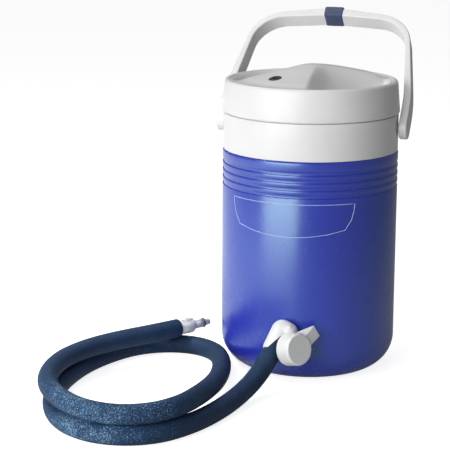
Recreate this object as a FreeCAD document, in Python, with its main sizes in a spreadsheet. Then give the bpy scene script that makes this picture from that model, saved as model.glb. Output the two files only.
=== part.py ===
import FreeCAD, Part
import math
import os

import Sketcher
from FreeCAD import Placement, Rotation, Vector

# Hot and cold therapy machine: an insulated jug with an air pump in its lid,
# a tap low on the front and a foam-covered hose that ends in a quick connector.
# Millimetres, +Z up, front to -Y. The origin is on the jug's axis at the floor.

doc = FreeCAD.newDocument("TherapyJug")
sheet = doc.addObject("Spreadsheet::Sheet", "sizes")
rows = []


class Size:
    """A length or an angle that keeps the sheet formula it came from."""

    def __init__(self, value, formula):
        self.value = float(value)
        self.formula = formula

    def _join(self, other, sign, value, swap=False):
        text = other.formula if isinstance(other, Size) else repr(float(other))
        pair = (text, self.formula) if swap else (self.formula, text)
        return Size(value, "(%s %s %s)" % (pair[0], sign, pair[1]))

    def __add__(self, other):
        return self._join(other, "+", self.value + number(other))

    def __radd__(self, other):
        return self._join(other, "+", self.value + number(other), True)

    def __sub__(self, other):
        return self._join(other, "-", self.value - number(other))

    def __rsub__(self, other):
        return self._join(other, "-", number(other) - self.value, True)

    def __mul__(self, other):
        return self._join(other, "*", self.value * number(other))

    def __rmul__(self, other):
        return self._join(other, "*", self.value * number(other), True)

    def __truediv__(self, other):
        return self._join(other, "/", self.value / number(other))

    def __neg__(self):
        return Size(-self.value, "(0 - %s)" % self.formula)


def number(size):
    return size.value if isinstance(size, Size) else float(size)


def cell(name, value):
    """Writes one driving dimension into the sheet and returns it."""
    rows.append(name)
    sheet.set("A%d" % len(rows), name)
    sheet.set("B%d" % len(rows), str(value))
    sheet.setAlias("B%d" % len(rows), name)
    return Size(value, "sizes.%s" % name)


# Insulated jug
body_radius = cell("body_radius", 100.0)
shell_top = cell("shell_top", 253.2)
shell_wall = cell("shell_wall", 2.5)
foot_round = cell("foot_round", 37.0)
foot_flat = cell("foot_flat", 7.0)
foot_inner = body_radius - foot_round - foot_flat
foot_recess = cell("foot_recess", 4.0)
shoulder_round = cell("shoulder_round", 3.0)
groove_low = cell("groove_low", 213.9)
groove_pitch = cell("groove_pitch", 8.5)
groove_width = cell("groove_width", 3.2)
groove_depth = cell("groove_depth", 1.2)
groove_count = cell("groove_count", 4)
plug_hole = cell("plug_hole", 8.0)
wall_space = cell("wall_space", 14.0)
mouth_lap = cell("mouth_lap", 6.0)
liner_radius = body_radius - wall_space
shell_mouth = liner_radius + mouth_lap
liner_wall = cell("liner_wall", 2.5)
liner_bottom = cell("liner_bottom", 26.0)
liner_round = cell("liner_round", 14.0)
flange_lap = cell("flange_lap", 1.5)
liner_flange = shell_mouth + flange_lap
flange_thick = cell("flange_thick", 2.4)
fit_gap = cell("fit_gap", 0.2)
seat_gap = cell("seat_gap", 0.1)

# Front panel outline, moulded proud of the shell
panel_top = cell("panel_top", 206.0)
panel_bottom = cell("panel_bottom", 169.0)
panel_corner_height = cell("panel_corner_height", 177.0)
panel_top_half = cell("panel_top_half", 68.8)
panel_low_half = cell("panel_low_half", 60.0)
panel_bead = cell("panel_bead", 1.3)
panel_rise = cell("panel_rise", 0.4)

# Collar and handle
collar_step = cell("collar_step", 0.5)
collar_rise = cell("collar_rise", 41.4)
collar_radius = body_radius - collar_step
collar_top = shell_top + collar_rise
collar_wall = cell("collar_wall", 3.0)
throat_step = cell("throat_step", 2.0)
throat_radius = liner_radius - throat_step
throat_wall = cell("throat_wall", 2.5)
pivot_drop = cell("pivot_drop", 15.0)
pivot_height = collar_top - pivot_drop
pivot_setback = cell("pivot_setback", 8.0)
pivot_radius = cell("pivot_radius", 4.0)
pivot_boss = cell("pivot_boss", 9.0)
pivot_depth = cell("pivot_depth", 10.0)
pivot_reach = cell("pivot_reach", 6.0)
pivot_clearance = cell("pivot_clearance", 0.06)
arm_gap = cell("arm_gap", 2.2)
arm_thick = cell("arm_thick", 9.3)
arm_width = cell("arm_width", 26.0)
grip_width = cell("grip_width", 20.0)
handle_length = cell("handle_length", 161.0)
grip_thick = cell("grip_thick", 11.0)
handle_lean = cell("handle_lean", 44.0)
corner_outer = cell("corner_outer", 45.0)
corner_inner = cell("corner_inner", 40.0)
knee_round = cell("knee_round", 250.0)
crown_round = cell("crown_round", 150.0)
outer_draw = cell("outer_draw", 19.2)
outer_drop = cell("outer_drop", 11.9)
inner_draw = cell("inner_draw", 13.8)
inner_drop = cell("inner_drop", 6.7)
edge_round = cell("edge_round", 1.6)
band_length = cell("band_length", 23.0)
band_thick = cell("band_thick", 1.1)

# Lid
lid_gap = cell("lid_gap", 0.3)
lid_overhang = cell("lid_overhang", 1.4)
lid_radius = collar_radius + lid_overhang
lid_height = cell("lid_height", 37.1)
rim_taper = cell("rim_taper", 2.9)
rim_radius = lid_radius - rim_taper
rim_width = cell("rim_width", 5.2)
rim_round = cell("rim_round", 4.0)
rim_step = cell("rim_step", 1.8)
lid_wall = cell("lid_wall", 2.6)
peak_height = cell("peak_height", 53.7)
peak_radius = cell("peak_radius", 14.0)
dome_margin = cell("dome_margin", 7.5)
dome_sink = cell("dome_sink", 0.4)
dome_foot = rim_radius - rim_width - dome_margin
scoop_floor = cell("scoop_floor", 26.0)
scoop_radius = cell("scoop_radius", 90.0)
scoop_margin = cell("scoop_margin", 2.5)
scoop_edge = rim_radius - rim_width - scoop_margin
scoop_round = cell("scoop_round", 7.0)
bar_half = cell("bar_half", 26.0)
bar_turn = cell("bar_turn", 29.0)
roof_thick = cell("roof_thick", 3.0)
plug_gap = cell("plug_gap", 0.8)
plug_depth = cell("plug_depth", 12.0)
floor_flange = cell("floor_flange", 3.9)
gasket_gap = cell("gasket_gap", 0.3)
gasket_height = cell("gasket_height", 3.0)
gasket_depth = cell("gasket_depth", 1.5)
screw_inset = cell("screw_inset", 9.5)
screw_circle = lid_radius - screw_inset
screw_radius = cell("screw_radius", 1.4)
screw_head = cell("screw_head", 3.0)
screw_count = cell("screw_count", 4)
socket_reach = cell("socket_reach", 59.5)
socket_radius = cell("socket_radius", 7.3)
socket_length = cell("socket_length", 16.0)
socket_bore = cell("socket_bore", 3.2)
motor_radius = cell("motor_radius", 12.0)
motor_length = cell("motor_length", 26.0)
pump_radius = cell("pump_radius", 16.0)
pump_height = cell("pump_height", 11.0)
rotor_radius = cell("rotor_radius", 9.0)
rotor_offset = cell("rotor_offset", 1.5)
shaft_radius = cell("shaft_radius", 1.5)
valve_radius = cell("valve_radius", 8.0)
valve_height = cell("valve_height", 22.0)
valve_reach = cell("valve_reach", 40.0)
plunger_radius = cell("plunger_radius", 2.5)
plunger_travel = cell("plunger_travel", 1.5)
board_length = cell("board_length", 46.0)
board_width = cell("board_width", 28.0)
board_height = cell("board_height", 16.0)

# Tap
stem_height = cell("stem_height", 54.0)
stem_radius = cell("stem_radius", 8.0)
stem_bore = cell("stem_bore", 4.0)
stem_hole_gap = cell("stem_hole_gap", 0.3)
tap_flange = cell("tap_flange", 14.5)
tap_flange_thick = cell("tap_flange_thick", 3.0)
tap_boss_rise = cell("tap_boss_rise", 1.2)
liner_boss_rise = cell("liner_boss_rise", 2.0)
washer_thick = cell("washer_thick", 1.5)
nut_flats = cell("nut_flats", 26.0)
nut_thick = cell("nut_thick", 6.0)
barrel_radius = cell("barrel_radius", 12.0)
barrel_bore = cell("barrel_bore", 9.0)
plug_clearance = cell("plug_clearance", 0.05)
port_radius = cell("port_radius", 3.0)
cap_radius = cell("cap_radius", 18.4)
cap_face = cell("cap_face", 16.6)
cap_length = cell("cap_length", 18.6)
cap_wall = cell("cap_wall", 3.0)
spindle_radius = cell("spindle_radius", 5.0)
lever_reach = cell("lever_reach", 34.0)
lever_width = cell("lever_width", 14.0)
lever_root = cell("lever_root", 9.0)
lever_tip = cell("lever_tip", 3.0)
lever_angle = cell("lever_angle", 27.0)
elbow_radius = cell("elbow_radius", 12.6)

# Hose and quick connector
sleeve_radius = cell("sleeve_radius", 10.75)
sleeve_bore = cell("sleeve_bore", 5.7)
tube_radius = cell("tube_radius", 5.5)
tube_bore = cell("tube_bore", 4.0)
barb_radius = cell("barb_radius", 3.9)
barb_length = cell("barb_length", 12.0)
collar_length = cell("collar_length", 22.5)
collar_body = cell("collar_body", 8.6)
insert_body = cell("insert_body", 4.9)
insert_barrel = cell("insert_barrel", 5.2)
insert_tip = cell("insert_tip", 3.5)
insert_bore = cell("insert_bore", 2.0)
seal_reach = cell("seal_reach", 15.3)
tip_reach = cell("tip_reach", 9.5)
ring_section = cell("ring_section", 0.8)
button_length = cell("button_length", 10.0)
button_width = cell("button_width", 8.0)
button_travel = cell("button_travel", 1.2)

doc.recompute()


# ---------------------------------------------------------------- tools

def bind(thing, name, size):
    if isinstance(size, Size):
        thing.setExpression(name, size.formula)
    else:
        setattr(thing, name, size)


def new_body(label):
    body = doc.addObject("PartDesign::Body", label)
    body.Label = label
    return body


def origin_part(body, role):
    return [item for item in body.Origin.OriginFeatures if item.Role == role][0]


def new_sketch(body, name, plane, offset):
    sketch = body.newObject("Sketcher::SketchObject", name)
    sketch.AttachmentSupport = (origin_part(body, plane), [""])
    sketch.MapMode = "FlatFace"
    if isinstance(offset, Size):
        sketch.setExpression("AttachmentOffset.Base.z", offset.formula)
    elif offset:
        sketch.AttachmentOffset = Placement(Vector(0, 0, offset), Rotation())
    return sketch


def pin_point(sketch, geometry, end, point):
    """Holds one sketch point at its sheet-driven place."""
    for kind, axis, size in (("DistanceX", -2, point[0]), ("DistanceY", -1, point[1])):
        if number(size) == 0.0 and not isinstance(size, Size):
            sketch.addConstraint(Sketcher.Constraint("PointOnObject", geometry, end, axis))
            continue
        index = sketch.addConstraint(
            Sketcher.Constraint(kind, -1, 1, geometry, end, number(size)))
        if isinstance(size, Size):
            sketch.setExpression("Constraints[%d]" % index, size.formula)


def outline(body, name, plane, points, offset=None):
    """A closed sketch of straight lines through sheet-driven points."""
    sketch = new_sketch(body, name, plane, offset)
    places = [Vector(number(x), number(y), 0) for x, y in points]
    for index, place in enumerate(places):
        after = places[(index + 1) % len(places)]
        sketch.addGeometry(Part.LineSegment(place, after), False)
    for index in range(len(places)):
        following = (index + 1) % len(places)
        sketch.addConstraint(Sketcher.Constraint("Coincident", index, 2, following, 1))
    for index, point in enumerate(points):
        pin_point(sketch, index, 1, point)
    return sketch


def ring(body, name, plane, circles, offset=None):
    """A sketch of circles, each given as centre x, centre y and radius."""
    sketch = new_sketch(body, name, plane, offset)
    for index, (x, y, radius) in enumerate(circles):
        centre = Vector(number(x), number(y), 0)
        sketch.addGeometry(Part.Circle(centre, Vector(0, 0, 1), number(radius)), False)
        pin_point(sketch, index, 3, (x, y))
        row = sketch.addConstraint(Sketcher.Constraint("Radius", index, number(radius)))
        if isinstance(radius, Size):
            sketch.setExpression("Constraints[%d]" % row, radius.formula)
    return sketch


def turn(body, sketch, kind="PartDesign::Revolution", name="Turned"):
    feature = body.newObject(kind, name)
    feature.Profile = sketch
    feature.ReferenceAxis = (sketch, ["V_Axis"])
    feature.Angle = 360.0
    return feature


def turned_body(label, points):
    """A body made by turning one closed profile about its own Z axis."""
    body = new_body(label)
    turn(body, outline(body, label + "_profile", "XZ_Plane", points))
    return body


def pad(body, sketch, length, middle=False, backward=False):
    feature = body.newObject("PartDesign::Pad", "Pad")
    feature.Profile = sketch
    bind(feature, "Length", length)
    feature.Midplane = middle
    feature.Reversed = backward
    return feature


def pocket(body, sketch, length, backward=False):
    feature = body.newObject("PartDesign::Pocket", "Pocket")
    feature.Profile = sketch
    bind(feature, "Length", length)
    feature.Reversed = backward
    return feature


def mirror_x(body, features):
    feature = body.newObject("PartDesign::Mirrored", "Mirrored")
    feature.Originals = features
    feature.MirrorPlane = (origin_part(body, "YZ_Plane"), [""])
    body.Tip = feature
    return feature


def around_z(body, features, count):
    feature = body.newObject("PartDesign::PolarPattern", "Around")
    feature.Originals = features
    feature.Axis = (origin_part(body, "Z_Axis"), [""])
    feature.Angle = 360.0
    bind(feature, "Occurrences", count)
    body.Tip = feature
    return feature


def rim_edges(shape, radius, height):
    """Names of the circular edges about Z at one radius and height."""
    names = []
    for index, edge in enumerate(shape.Edges):
        curve = edge.Curve
        if not isinstance(curve, Part.Circle):
            continue
        if abs(curve.Radius - number(radius)) < 0.01 and abs(curve.Center.z - number(height)) < 0.01:
            names.append("Edge%d" % (index + 1))
    return names


def round_rim(body, base, radius, height, size, name="Rounded"):
    doc.recompute()
    feature = body.newObject("PartDesign::Fillet", name)
    feature.Base = (base, rim_edges(base.Shape, radius, height))
    bind(feature, "Radius", size)
    return feature


def cylinder(label, radius, height, place=None):
    thing = doc.addObject("Part::Cylinder", label)
    thing.Label = label
    bind(thing, "Radius", radius)
    bind(thing, "Height", height)
    if place:
        thing.Placement = place
    return thing


def box(label, length, width, height, place=None):
    thing = doc.addObject("Part::Box", label)
    thing.Label = label
    bind(thing, "Length", length)
    bind(thing, "Width", width)
    bind(thing, "Height", height)
    if place:
        thing.Placement = place
    return thing


def at(x, y, z, rotation=None):
    return Placement(Vector(number(x), number(y), number(z)), rotation or Rotation())


def cut(label, base, tool):
    thing = doc.addObject("Part::Cut", label)
    thing.Label = label
    thing.Base = base
    thing.Tool = tool
    return thing


def common(label, first, second):
    thing = doc.addObject("Part::Common", label)
    thing.Label = label
    thing.Base = first
    thing.Tool = second
    return thing


def fuse(label, pieces):
    thing = doc.addObject("Part::MultiFuse", label)
    thing.Label = label
    thing.Shapes = pieces
    return thing


def group(label, pieces):
    """Separate solids that share one node."""
    thing = doc.addObject("Part::Compound", label)
    thing.Label = label
    thing.Links = pieces
    return thing


def along(start, direction):
    """A placement whose own Z points along a direction."""
    return Placement(start, Rotation(Vector(0, 0, 1), direction))


nodes = []


def keep(thing, label):
    thing.Label = label
    nodes.append((label, thing))
    return thing


# ---------------------------------------------------------------- jug

# Outer shell: one hollow wall with a rounded foot, a standing ring and a lip
shell = new_body("shell_body")
inner_radius = body_radius - shell_wall
shell_profile = outline(shell, "shell_profile", "XZ_Plane", [
    (0.0, foot_recess),
    (foot_inner - foot_recess, foot_recess),
    (foot_inner, 0.0),
    (body_radius, 0.0),
    (body_radius, shell_top),
    (shell_mouth, shell_top),
    (shell_mouth, shell_top - shell_wall),
    (inner_radius, shell_top - shell_wall),
    (inner_radius, shell_wall),
    (foot_inner + 1.0, shell_wall),
    (foot_inner - foot_recess + 1.0, foot_recess + shell_wall),
    (0.0, foot_recess + shell_wall),
])
wall = turn(shell, shell_profile)
wall = round_rim(shell, wall, body_radius, 0, foot_round, "FootRound")
wall = round_rim(shell, wall, inner_radius, shell_wall, foot_round - shell_wall, "FootInside")
wall = round_rim(shell, wall, body_radius, shell_top, shoulder_round, "Shoulder")

# Four bands of grooves below the shoulder
groove_sketch = outline(shell, "groove_profile", "XZ_Plane", [
    (body_radius - groove_depth, groove_low),
    (body_radius + 1.0, groove_low - 0.6),
    (body_radius + 1.0, groove_low + groove_width + 0.6),
    (body_radius - groove_depth, groove_low + groove_width),
])
groove = turn(shell, groove_sketch, "PartDesign::Groove", "BandGroove")
doc.recompute()
bands = shell.newObject("PartDesign::LinearPattern", "Bands")
bands.Originals = [groove]
bands.Direction = (origin_part(shell, "Z_Axis"), [""])
bind(bands, "Length", groove_pitch * (groove_count - 1))
bind(bands, "Occurrences", groove_count)
shell.Tip = bands

# Flat seat for the tap's washer, the hole for its stem and the foaming hole
boss_face = body_radius + tap_boss_rise
boss_start = inner_radius + 0.1
boss_sketch = ring(shell, "tap_seat", "XZ_Plane", [(0.0, stem_height, tap_flange + 1.0)], boss_start)
pad(shell, boss_sketch, boss_face - boss_start)
stem_hole = stem_radius + stem_hole_gap
hole_sketch = ring(shell, "stem_hole", "XZ_Plane", [(0.0, stem_height, stem_hole)], boss_face + 1.0)
pocket(shell, hole_sketch, boss_face - boss_start + 4.0)
foaming = ring(shell, "foam_hole", "XY_Plane", [(0.0, 0.0, plug_hole)],
               foot_recess + shell_wall + 1.0)
pocket(shell, foaming, shell_wall + 2.0)
doc.recompute()

# Raised outline of the front panel, wrapped round the shell
half_top = number(panel_top_half)
half_low = number(panel_low_half)
top = number(panel_top)
corner = number(panel_corner_height)
low = number(panel_bottom)
side_mid = (half_top + half_low) / 2 + 2.2
side_height = (top + corner) / 2 - 1.5


def front(x, z):
    return Vector(x, 0, z)


panel_edges = [
    Part.LineSegment(front(-half_top, top), front(half_top, top)).toShape(),
    Part.Arc(front(half_top, top), front(side_mid, side_height), front(half_low, corner)).toShape(),
    Part.Arc(front(half_low, corner), front(0, low), front(-half_low, corner)).toShape(),
    Part.Arc(front(-half_low, corner), front(-side_mid, side_height), front(-half_top, top)).toShape(),
]
panel_wire = Part.Wire(panel_edges)
panel_reach = Vector(0, -number(body_radius) - 5, 0)
panel_outer = Part.Face(panel_wire)
panel_inner = Part.Face(panel_outer.makeOffset2D(-number(panel_bead)).Wires[0])
panel_prism = panel_outer.extrude(panel_reach).cut(panel_inner.extrude(panel_reach))
bead_outer = Part.makeCylinder(number(body_radius) + number(panel_rise), number(shell_top))
bead_inner = Part.makeCylinder(number(body_radius) - 0.3, number(shell_top))
bead = doc.addObject("Part::Feature", "panel_bead_shape")
bead.Shape = panel_prism.common(bead_outer.cut(bead_inner))
outer_shell = keep(fuse("outer_shell", [shell, bead]), "outer_shell")

# Foam between the walls
foam = new_body("foam_insulation")
foam_outer = inner_radius - fit_gap
foam_bottom = foot_recess + shell_wall + fit_gap
foam_bore = liner_radius + fit_gap
foam_base = turn(foam, outline(foam, "foam_profile", "XZ_Plane", [
    (0.0, foam_bottom),
    (foam_outer, foam_bottom),
    (foam_outer, shell_top - shell_wall - fit_gap),
    (foam_bore, shell_top - shell_wall - fit_gap),
    (foam_bore, liner_bottom - fit_gap),
    (0.0, liner_bottom - fit_gap),
]))
foam_base = round_rim(foam, foam_base, foam_outer, foam_bottom, foot_round - foam_bottom, "FoamFoot")
foam_base = round_rim(foam, foam_base, foam_bore, liner_bottom - fit_gap, liner_round, "FoamPocket")
foam_hole = ring(foam, "foam_stem_hole", "XZ_Plane", [(0.0, stem_height, stem_hole)], boss_face)
pocket(foam, foam_hole, boss_face - foam_bore + 2.0)
keep(foam, "foam_insulation")

# Tank
liner = new_body("inner_liner")
liner_inner = liner_radius - liner_wall
liner_top = shell_top + seat_gap + flange_thick
liner_base = turn(liner, outline(liner, "liner_profile", "XZ_Plane", [
    (0.0, liner_bottom),
    (liner_radius, liner_bottom),
    (liner_radius, shell_top + seat_gap),
    (liner_flange, shell_top + seat_gap),
    (liner_flange, liner_top),
    (liner_inner, liner_top),
    (liner_inner, liner_bottom + liner_wall),
    (0.0, liner_bottom + liner_wall),
]))
liner_base = round_rim(liner, liner_base, liner_radius, liner_bottom, liner_round, "TankRound")
liner_base = round_rim(liner, liner_base, liner_inner, liner_bottom + liner_wall,
                       liner_round - liner_wall, "TankInside")
seat_inner = liner_inner - liner_boss_rise
seat_start = liner_radius - 1.4
liner_seat = ring(liner, "nut_seat", "XZ_Plane", [(0.0, stem_height, tap_flange)], seat_start)
pad(liner, liner_seat, seat_start - seat_inner, backward=True)
liner_hole = ring(liner, "liner_stem_hole", "XZ_Plane", [(0.0, stem_height, stem_hole)],
                  liner_radius + 2.0)
pocket(liner, liner_hole, liner_radius - seat_inner + 4.0)
keep(liner, "inner_liner")

# Plug that closes the foaming hole and stands as the base's centre foot
keep(turned_body("fill_plug", [
    (0.0, 0.0),
    (plug_hole + 2.0, 0.0),
    (plug_hole + 3.0, 1.0),
    (plug_hole + 3.0, foot_recess - seat_gap),
    (plug_hole - fit_gap, foot_recess - seat_gap),
    (plug_hole - fit_gap, foot_recess + shell_wall),
    (0.0, foot_recess + shell_wall),
]), "fill_plug")

# Neck collar: outer wall, top web and throat, with a boss for each pivot
collar = new_body("neck_collar")
collar_inner = collar_radius - collar_wall
throat_outer = throat_radius + throat_wall
turn(collar, outline(collar, "collar_profile", "XZ_Plane", [
    (collar_radius, shell_top + seat_gap),
    (collar_radius, collar_top),
    (throat_radius, collar_top),
    (throat_radius, liner_top + seat_gap),
    (throat_outer, liner_top + seat_gap),
    (throat_outer, collar_top - collar_wall),
    (collar_inner, collar_top - collar_wall),
    (collar_inner, shell_top + seat_gap),
]))
boss_circle = ring(collar, "pivot_boss", "YZ_Plane", [(pivot_setback, pivot_height, pivot_boss)],
                   throat_outer - 2.0)
boss_pad = pad(collar, boss_circle, collar_radius - throat_outer - 0.1)
pin_inner = collar_radius - pivot_depth
bore_circle = ring(collar, "pivot_bore", "YZ_Plane", [(pivot_setback, pivot_height, pivot_radius + 0.02)],
                   collar_radius + 2.0)
bore_cut = pocket(collar, bore_circle, pivot_depth + 2.0)
mirror_x(collar, [boss_pad, bore_cut])
keep(collar, "neck_collar")

# Two pivot pins, pressed into the collar
arm_inner = collar_radius + arm_gap
pin_span = arm_inner + pivot_reach - pin_inner
turn_x = Rotation(Vector(0, 1, 0), 90)
turn_back = Rotation(Vector(0, 1, 0), -90)
pin_right = cylinder("pin_right", pivot_radius, pin_span,
                     at(pin_inner, pivot_setback, pivot_height, turn_x))
pin_left = cylinder("pin_left", pivot_radius, pin_span,
                    at(-pin_inner, pivot_setback, pivot_height, turn_back))
keep(group("handle_pivot", [pin_right, pin_left]), "handle_pivot")

# ---------------------------------------------------------------- handle

# The bail is drawn upright about its pivots, then leant back to where it rests.
arm_outer = arm_inner + arm_thick
handle_front = new_body("handle_front")
knee = handle_length * 0.217
outer_corner_x = arm_outer - outer_draw
outer_corner_z = handle_length - outer_drop
inner_corner_x = arm_inner - inner_draw
inner_corner_z = handle_length - grip_thick - inner_drop
front_sketch = outline(handle_front, "handle_outline", "XZ_Plane", [
    (arm_outer, -(arm_width / 2)),
    (arm_outer, knee),
    (outer_corner_x, outer_corner_z),
    (0.0, handle_length),
    (-outer_corner_x, outer_corner_z),
    (-arm_outer, knee),
    (-arm_outer, -(arm_width / 2)),
    (-arm_inner, -(arm_width / 2)),
    (-arm_inner, knee),
    (-inner_corner_x, inner_corner_z),
    (0.0, handle_length - grip_thick),
    (inner_corner_x, inner_corner_z),
    (arm_inner, knee),
    (arm_inner, -(arm_width / 2)),
])
strap = pad(handle_front, front_sketch, arm_width, middle=True)


def cross_edges(shape, places):
    """Names of the edges that run along Y through the given x, z places."""
    names = []
    for index, edge in enumerate(shape.Edges):
        middle = edge.valueAt((edge.FirstParameter + edge.LastParameter) / 2)
        for x, z in places:
            if abs(middle.x - number(x)) < 0.05 and abs(middle.z - number(z)) < 0.05:
                names.append("Edge%d" % (index + 1))
    return names


def round_cross(body, base, places, size, name):
    doc.recompute()
    feature = body.newObject("PartDesign::Fillet", name)
    feature.Base = (base, cross_edges(base.Shape, places))
    bind(feature, "Radius", size)
    return feature


strap = round_cross(handle_front, strap, [(outer_corner_x, outer_corner_z),
                    (-outer_corner_x, outer_corner_z)], corner_outer, "OuterCorner")
strap = round_cross(handle_front, strap, [(inner_corner_x, inner_corner_z),
                    (-inner_corner_x, inner_corner_z)], corner_inner, "InnerCorner")
strap = round_cross(handle_front, strap, [(0, handle_length)], crown_round, "OuterCrown")
strap = round_cross(handle_front, strap, [(0, handle_length - grip_thick)], crown_round, "InnerCrown")
strap = round_cross(handle_front, strap, [(arm_outer, knee), (-arm_outer, knee)], knee_round, "OuterKnee")
strap = round_cross(handle_front, strap, [(arm_inner, knee), (-arm_inner, knee)], knee_round, "InnerKnee")
doc.recompute()

handle_side = new_body("handle_side")
half_arm = arm_width / 2
half_grip = grip_width / 2
side_sketch = outline(handle_side, "handle_side_outline", "YZ_Plane", [
    (-half_arm, -half_arm),
    (half_arm, -half_arm),
    (half_grip, handle_length + 2.0),
    (-half_grip, handle_length + 2.0),
])
side_pad = pad(handle_side, side_sketch, arm_outer * 2 + 4.0, middle=True)
doc.recompute()


def long_edges(shape, places):
    """Names of the edges that run along X through the given y, z places."""
    names = []
    for index, edge in enumerate(shape.Edges):
        middle = edge.valueAt((edge.FirstParameter + edge.LastParameter) / 2)
        for y, z in places:
            if abs(middle.x) < 0.01 and abs(middle.y - number(y)) < 0.05 and abs(
                    middle.z - number(z)) < 0.05:
                names.append("Edge%d" % (index + 1))
    return names


arm_ends = handle_side.newObject("PartDesign::Fillet", "ArmEnds")
arm_ends.Base = (side_pad, long_edges(side_pad.Shape, [(-half_arm, -half_arm), (half_arm, -half_arm)]))
bind(arm_ends, "Radius", half_arm - 0.6)
doc.recompute()

bail_blank = common("bail_blank", handle_front, handle_side)
doc.recompute()
bail_soft = doc.addObject("Part::Fillet", "bail_soft")
bail_soft.Base = bail_blank
soft_edges = []
for number_of, edge in enumerate(bail_blank.Shape.Edges):
    span = edge.BoundBox
    runs_across = span.YLength > grip_width.value - 2.0 and span.ZLength < 1.0
    runs_through = span.XLength > arm_thick.value - 1.0 and span.YLength + span.ZLength < 0.01
    if not runs_across and not runs_through:
        soft_edges.append((number_of + 1, edge_round.value, edge_round.value))
bail_soft.Edges = soft_edges
doc.recompute()

socket_hole = pivot_radius + pivot_clearance
sockets = group("pivot_sockets", [
    cylinder("socket_right", socket_hole, pivot_reach + 1.4, at(arm_inner - 1.0, 0, 0, turn_x)),
    cylinder("socket_left", socket_hole, pivot_reach + 1.4, at(-arm_inner + 1.0, 0, 0, turn_back)),
])
lean = Rotation(Vector(1, 0, 0), -number(handle_lean))
pivot_place = Placement(Vector(0, number(pivot_setback), number(pivot_height)), lean)
bail = cut("bail_handle", bail_soft, sockets)
bail.Placement = pivot_place
bail.setExpression("Placement.Base.y", pivot_setback.formula)
bail.setExpression("Placement.Base.z", pivot_height.formula)
keep(bail, "bail_handle")

# Band round the middle of the grip
band_blank = box("band_blank", band_length, grip_width + band_thick * 2,
                 grip_thick + band_thick * 2 + 0.4)
band_blank.Placement = at(-band_length / 2, -(half_grip + band_thick),
                          handle_length - grip_thick - band_thick - 0.2)
doc.recompute()
band_soft = doc.addObject("Part::Fillet", "band_soft")
band_soft.Base = band_blank
band_edges = []
for number_of, edge in enumerate(band_blank.Shape.Edges):
    if edge.BoundBox.XLength > 1.0:
        band_edges.append((number_of + 1, 2.2, 2.2))
band_soft.Edges = band_edges
doc.recompute()
band = cut("grip_band", band_soft, bail_soft)
band.Placement = pivot_place
band.setExpression("Placement.Base.y", pivot_setback.formula)
band.setExpression("Placement.Base.z", pivot_height.formula)
keep(band, "grip_band")

# ---------------------------------------------------------------- lid

lid_base = collar_top + lid_gap
rim_top = lid_base + lid_height
peak = lid_base + peak_height
floor_level = lid_base + scoop_floor
dome_edge = rim_top - dome_sink
lid = new_body("lid_body")
lid_turn = turn(lid, outline(lid, "lid_profile", "XZ_Plane", [
    (0.0, lid_base),
    (lid_radius, lid_base),
    (rim_radius, rim_top),
    (rim_radius - rim_width, rim_top),
    (rim_radius - rim_width - 1.2, rim_top - rim_step),
    (dome_foot, dome_edge),
    (peak_radius, peak - 0.6),
    (0.0, peak),
]))
lid_turn = round_rim(lid, lid_turn, rim_radius, rim_top, rim_round, "RimRound")
lid_turn = round_rim(lid, lid_turn, peak_radius, peak - 0.6, 60.0, "PeakRound")
doc.recompute()

bar_spin = Rotation(Vector(0, 0, 1), -number(bar_turn))
scoop_reach = bar_half + scoop_radius


def scoop(label, side):
    """A finger scoop: what two upright cylinders share, rounded at its floor."""
    centre = bar_spin.multVec(Vector(side * number(scoop_reach), 0, number(floor_level)))
    big = cylinder(label + "_flank", scoop_radius, 40.0, Placement(centre, Rotation()))
    edge = cylinder(label + "_edge", scoop_edge, 40.0, at(0, 0, floor_level))
    shared = common(label + "_blank", big, edge)
    doc.recompute()
    soft = doc.addObject("Part::Fillet", label)
    soft.Base = shared
    picked = []
    for row, line in enumerate(shared.Shape.Edges):
        if line.BoundBox.ZMax < number(floor_level) + 0.01:
            picked.append((row + 1, scoop_round.value, scoop_round.value))
    soft.Edges = picked
    return soft


scoops = [scoop("scoop_right", 1), scoop("scoop_left", -1)]
doc.recompute()

# Hollow of the lid: a wide chamber, a taller one under the bar and the pump well
roof = floor_level - roof_thick
chamber = cylinder("chamber", lid_radius - lid_wall - 0.4, roof - lid_base + 1.0,
                   at(0, 0, lid_base - 1.0))
bar_room = box("bar_room", bar_half * 2 - 12.0, dome_foot * 2 - 12.0, 16.0,
               Placement(bar_spin.multVec(Vector(-number(bar_half) + 6, -number(dome_foot) + 6, 0))
                         + Vector(0, 0, number(roof) - 1), bar_spin))
bar_limit = cylinder("bar_limit", dome_foot - 16.0, 40.0, at(0, 0, roof - 2.0))
bar_hollow = common("bar_hollow", bar_room, bar_limit)
well = cylinder("pump_well", motor_radius + 4.0, peak - roof - 4.0, at(0, 0, roof - 1.0))
bar_axis = bar_spin.multVec(Vector(0, -1, 0))
dome_drop = (peak - 0.6 - dome_edge) / (dome_foot - peak_radius)
socket_top = peak - 0.6 - (socket_reach - peak_radius) * dome_drop
socket_at = bar_axis * number(socket_reach) + Vector(0, 0, number(socket_top))
socket_lean = (bar_axis * number(dome_drop) + Vector(0, 0, 1)).normalize()
socket_way = cylinder("socket_way", socket_radius + fit_gap, 40.0,
                      along(socket_at - socket_lean * 22.0, socket_lean))
mark_at = Vector(-18, -83, number(dome_edge) - 1.2)
mark_turn = Rotation(Vector(0, 0, 1), 12)
guide_mark = box("guide_mark", 8.0, 1.6, 20.0,
                 Placement(mark_at - mark_turn.multVec(Vector(4, 0.8, 0)), mark_turn))
lid_posts = []
lid_pilots = []
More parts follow.
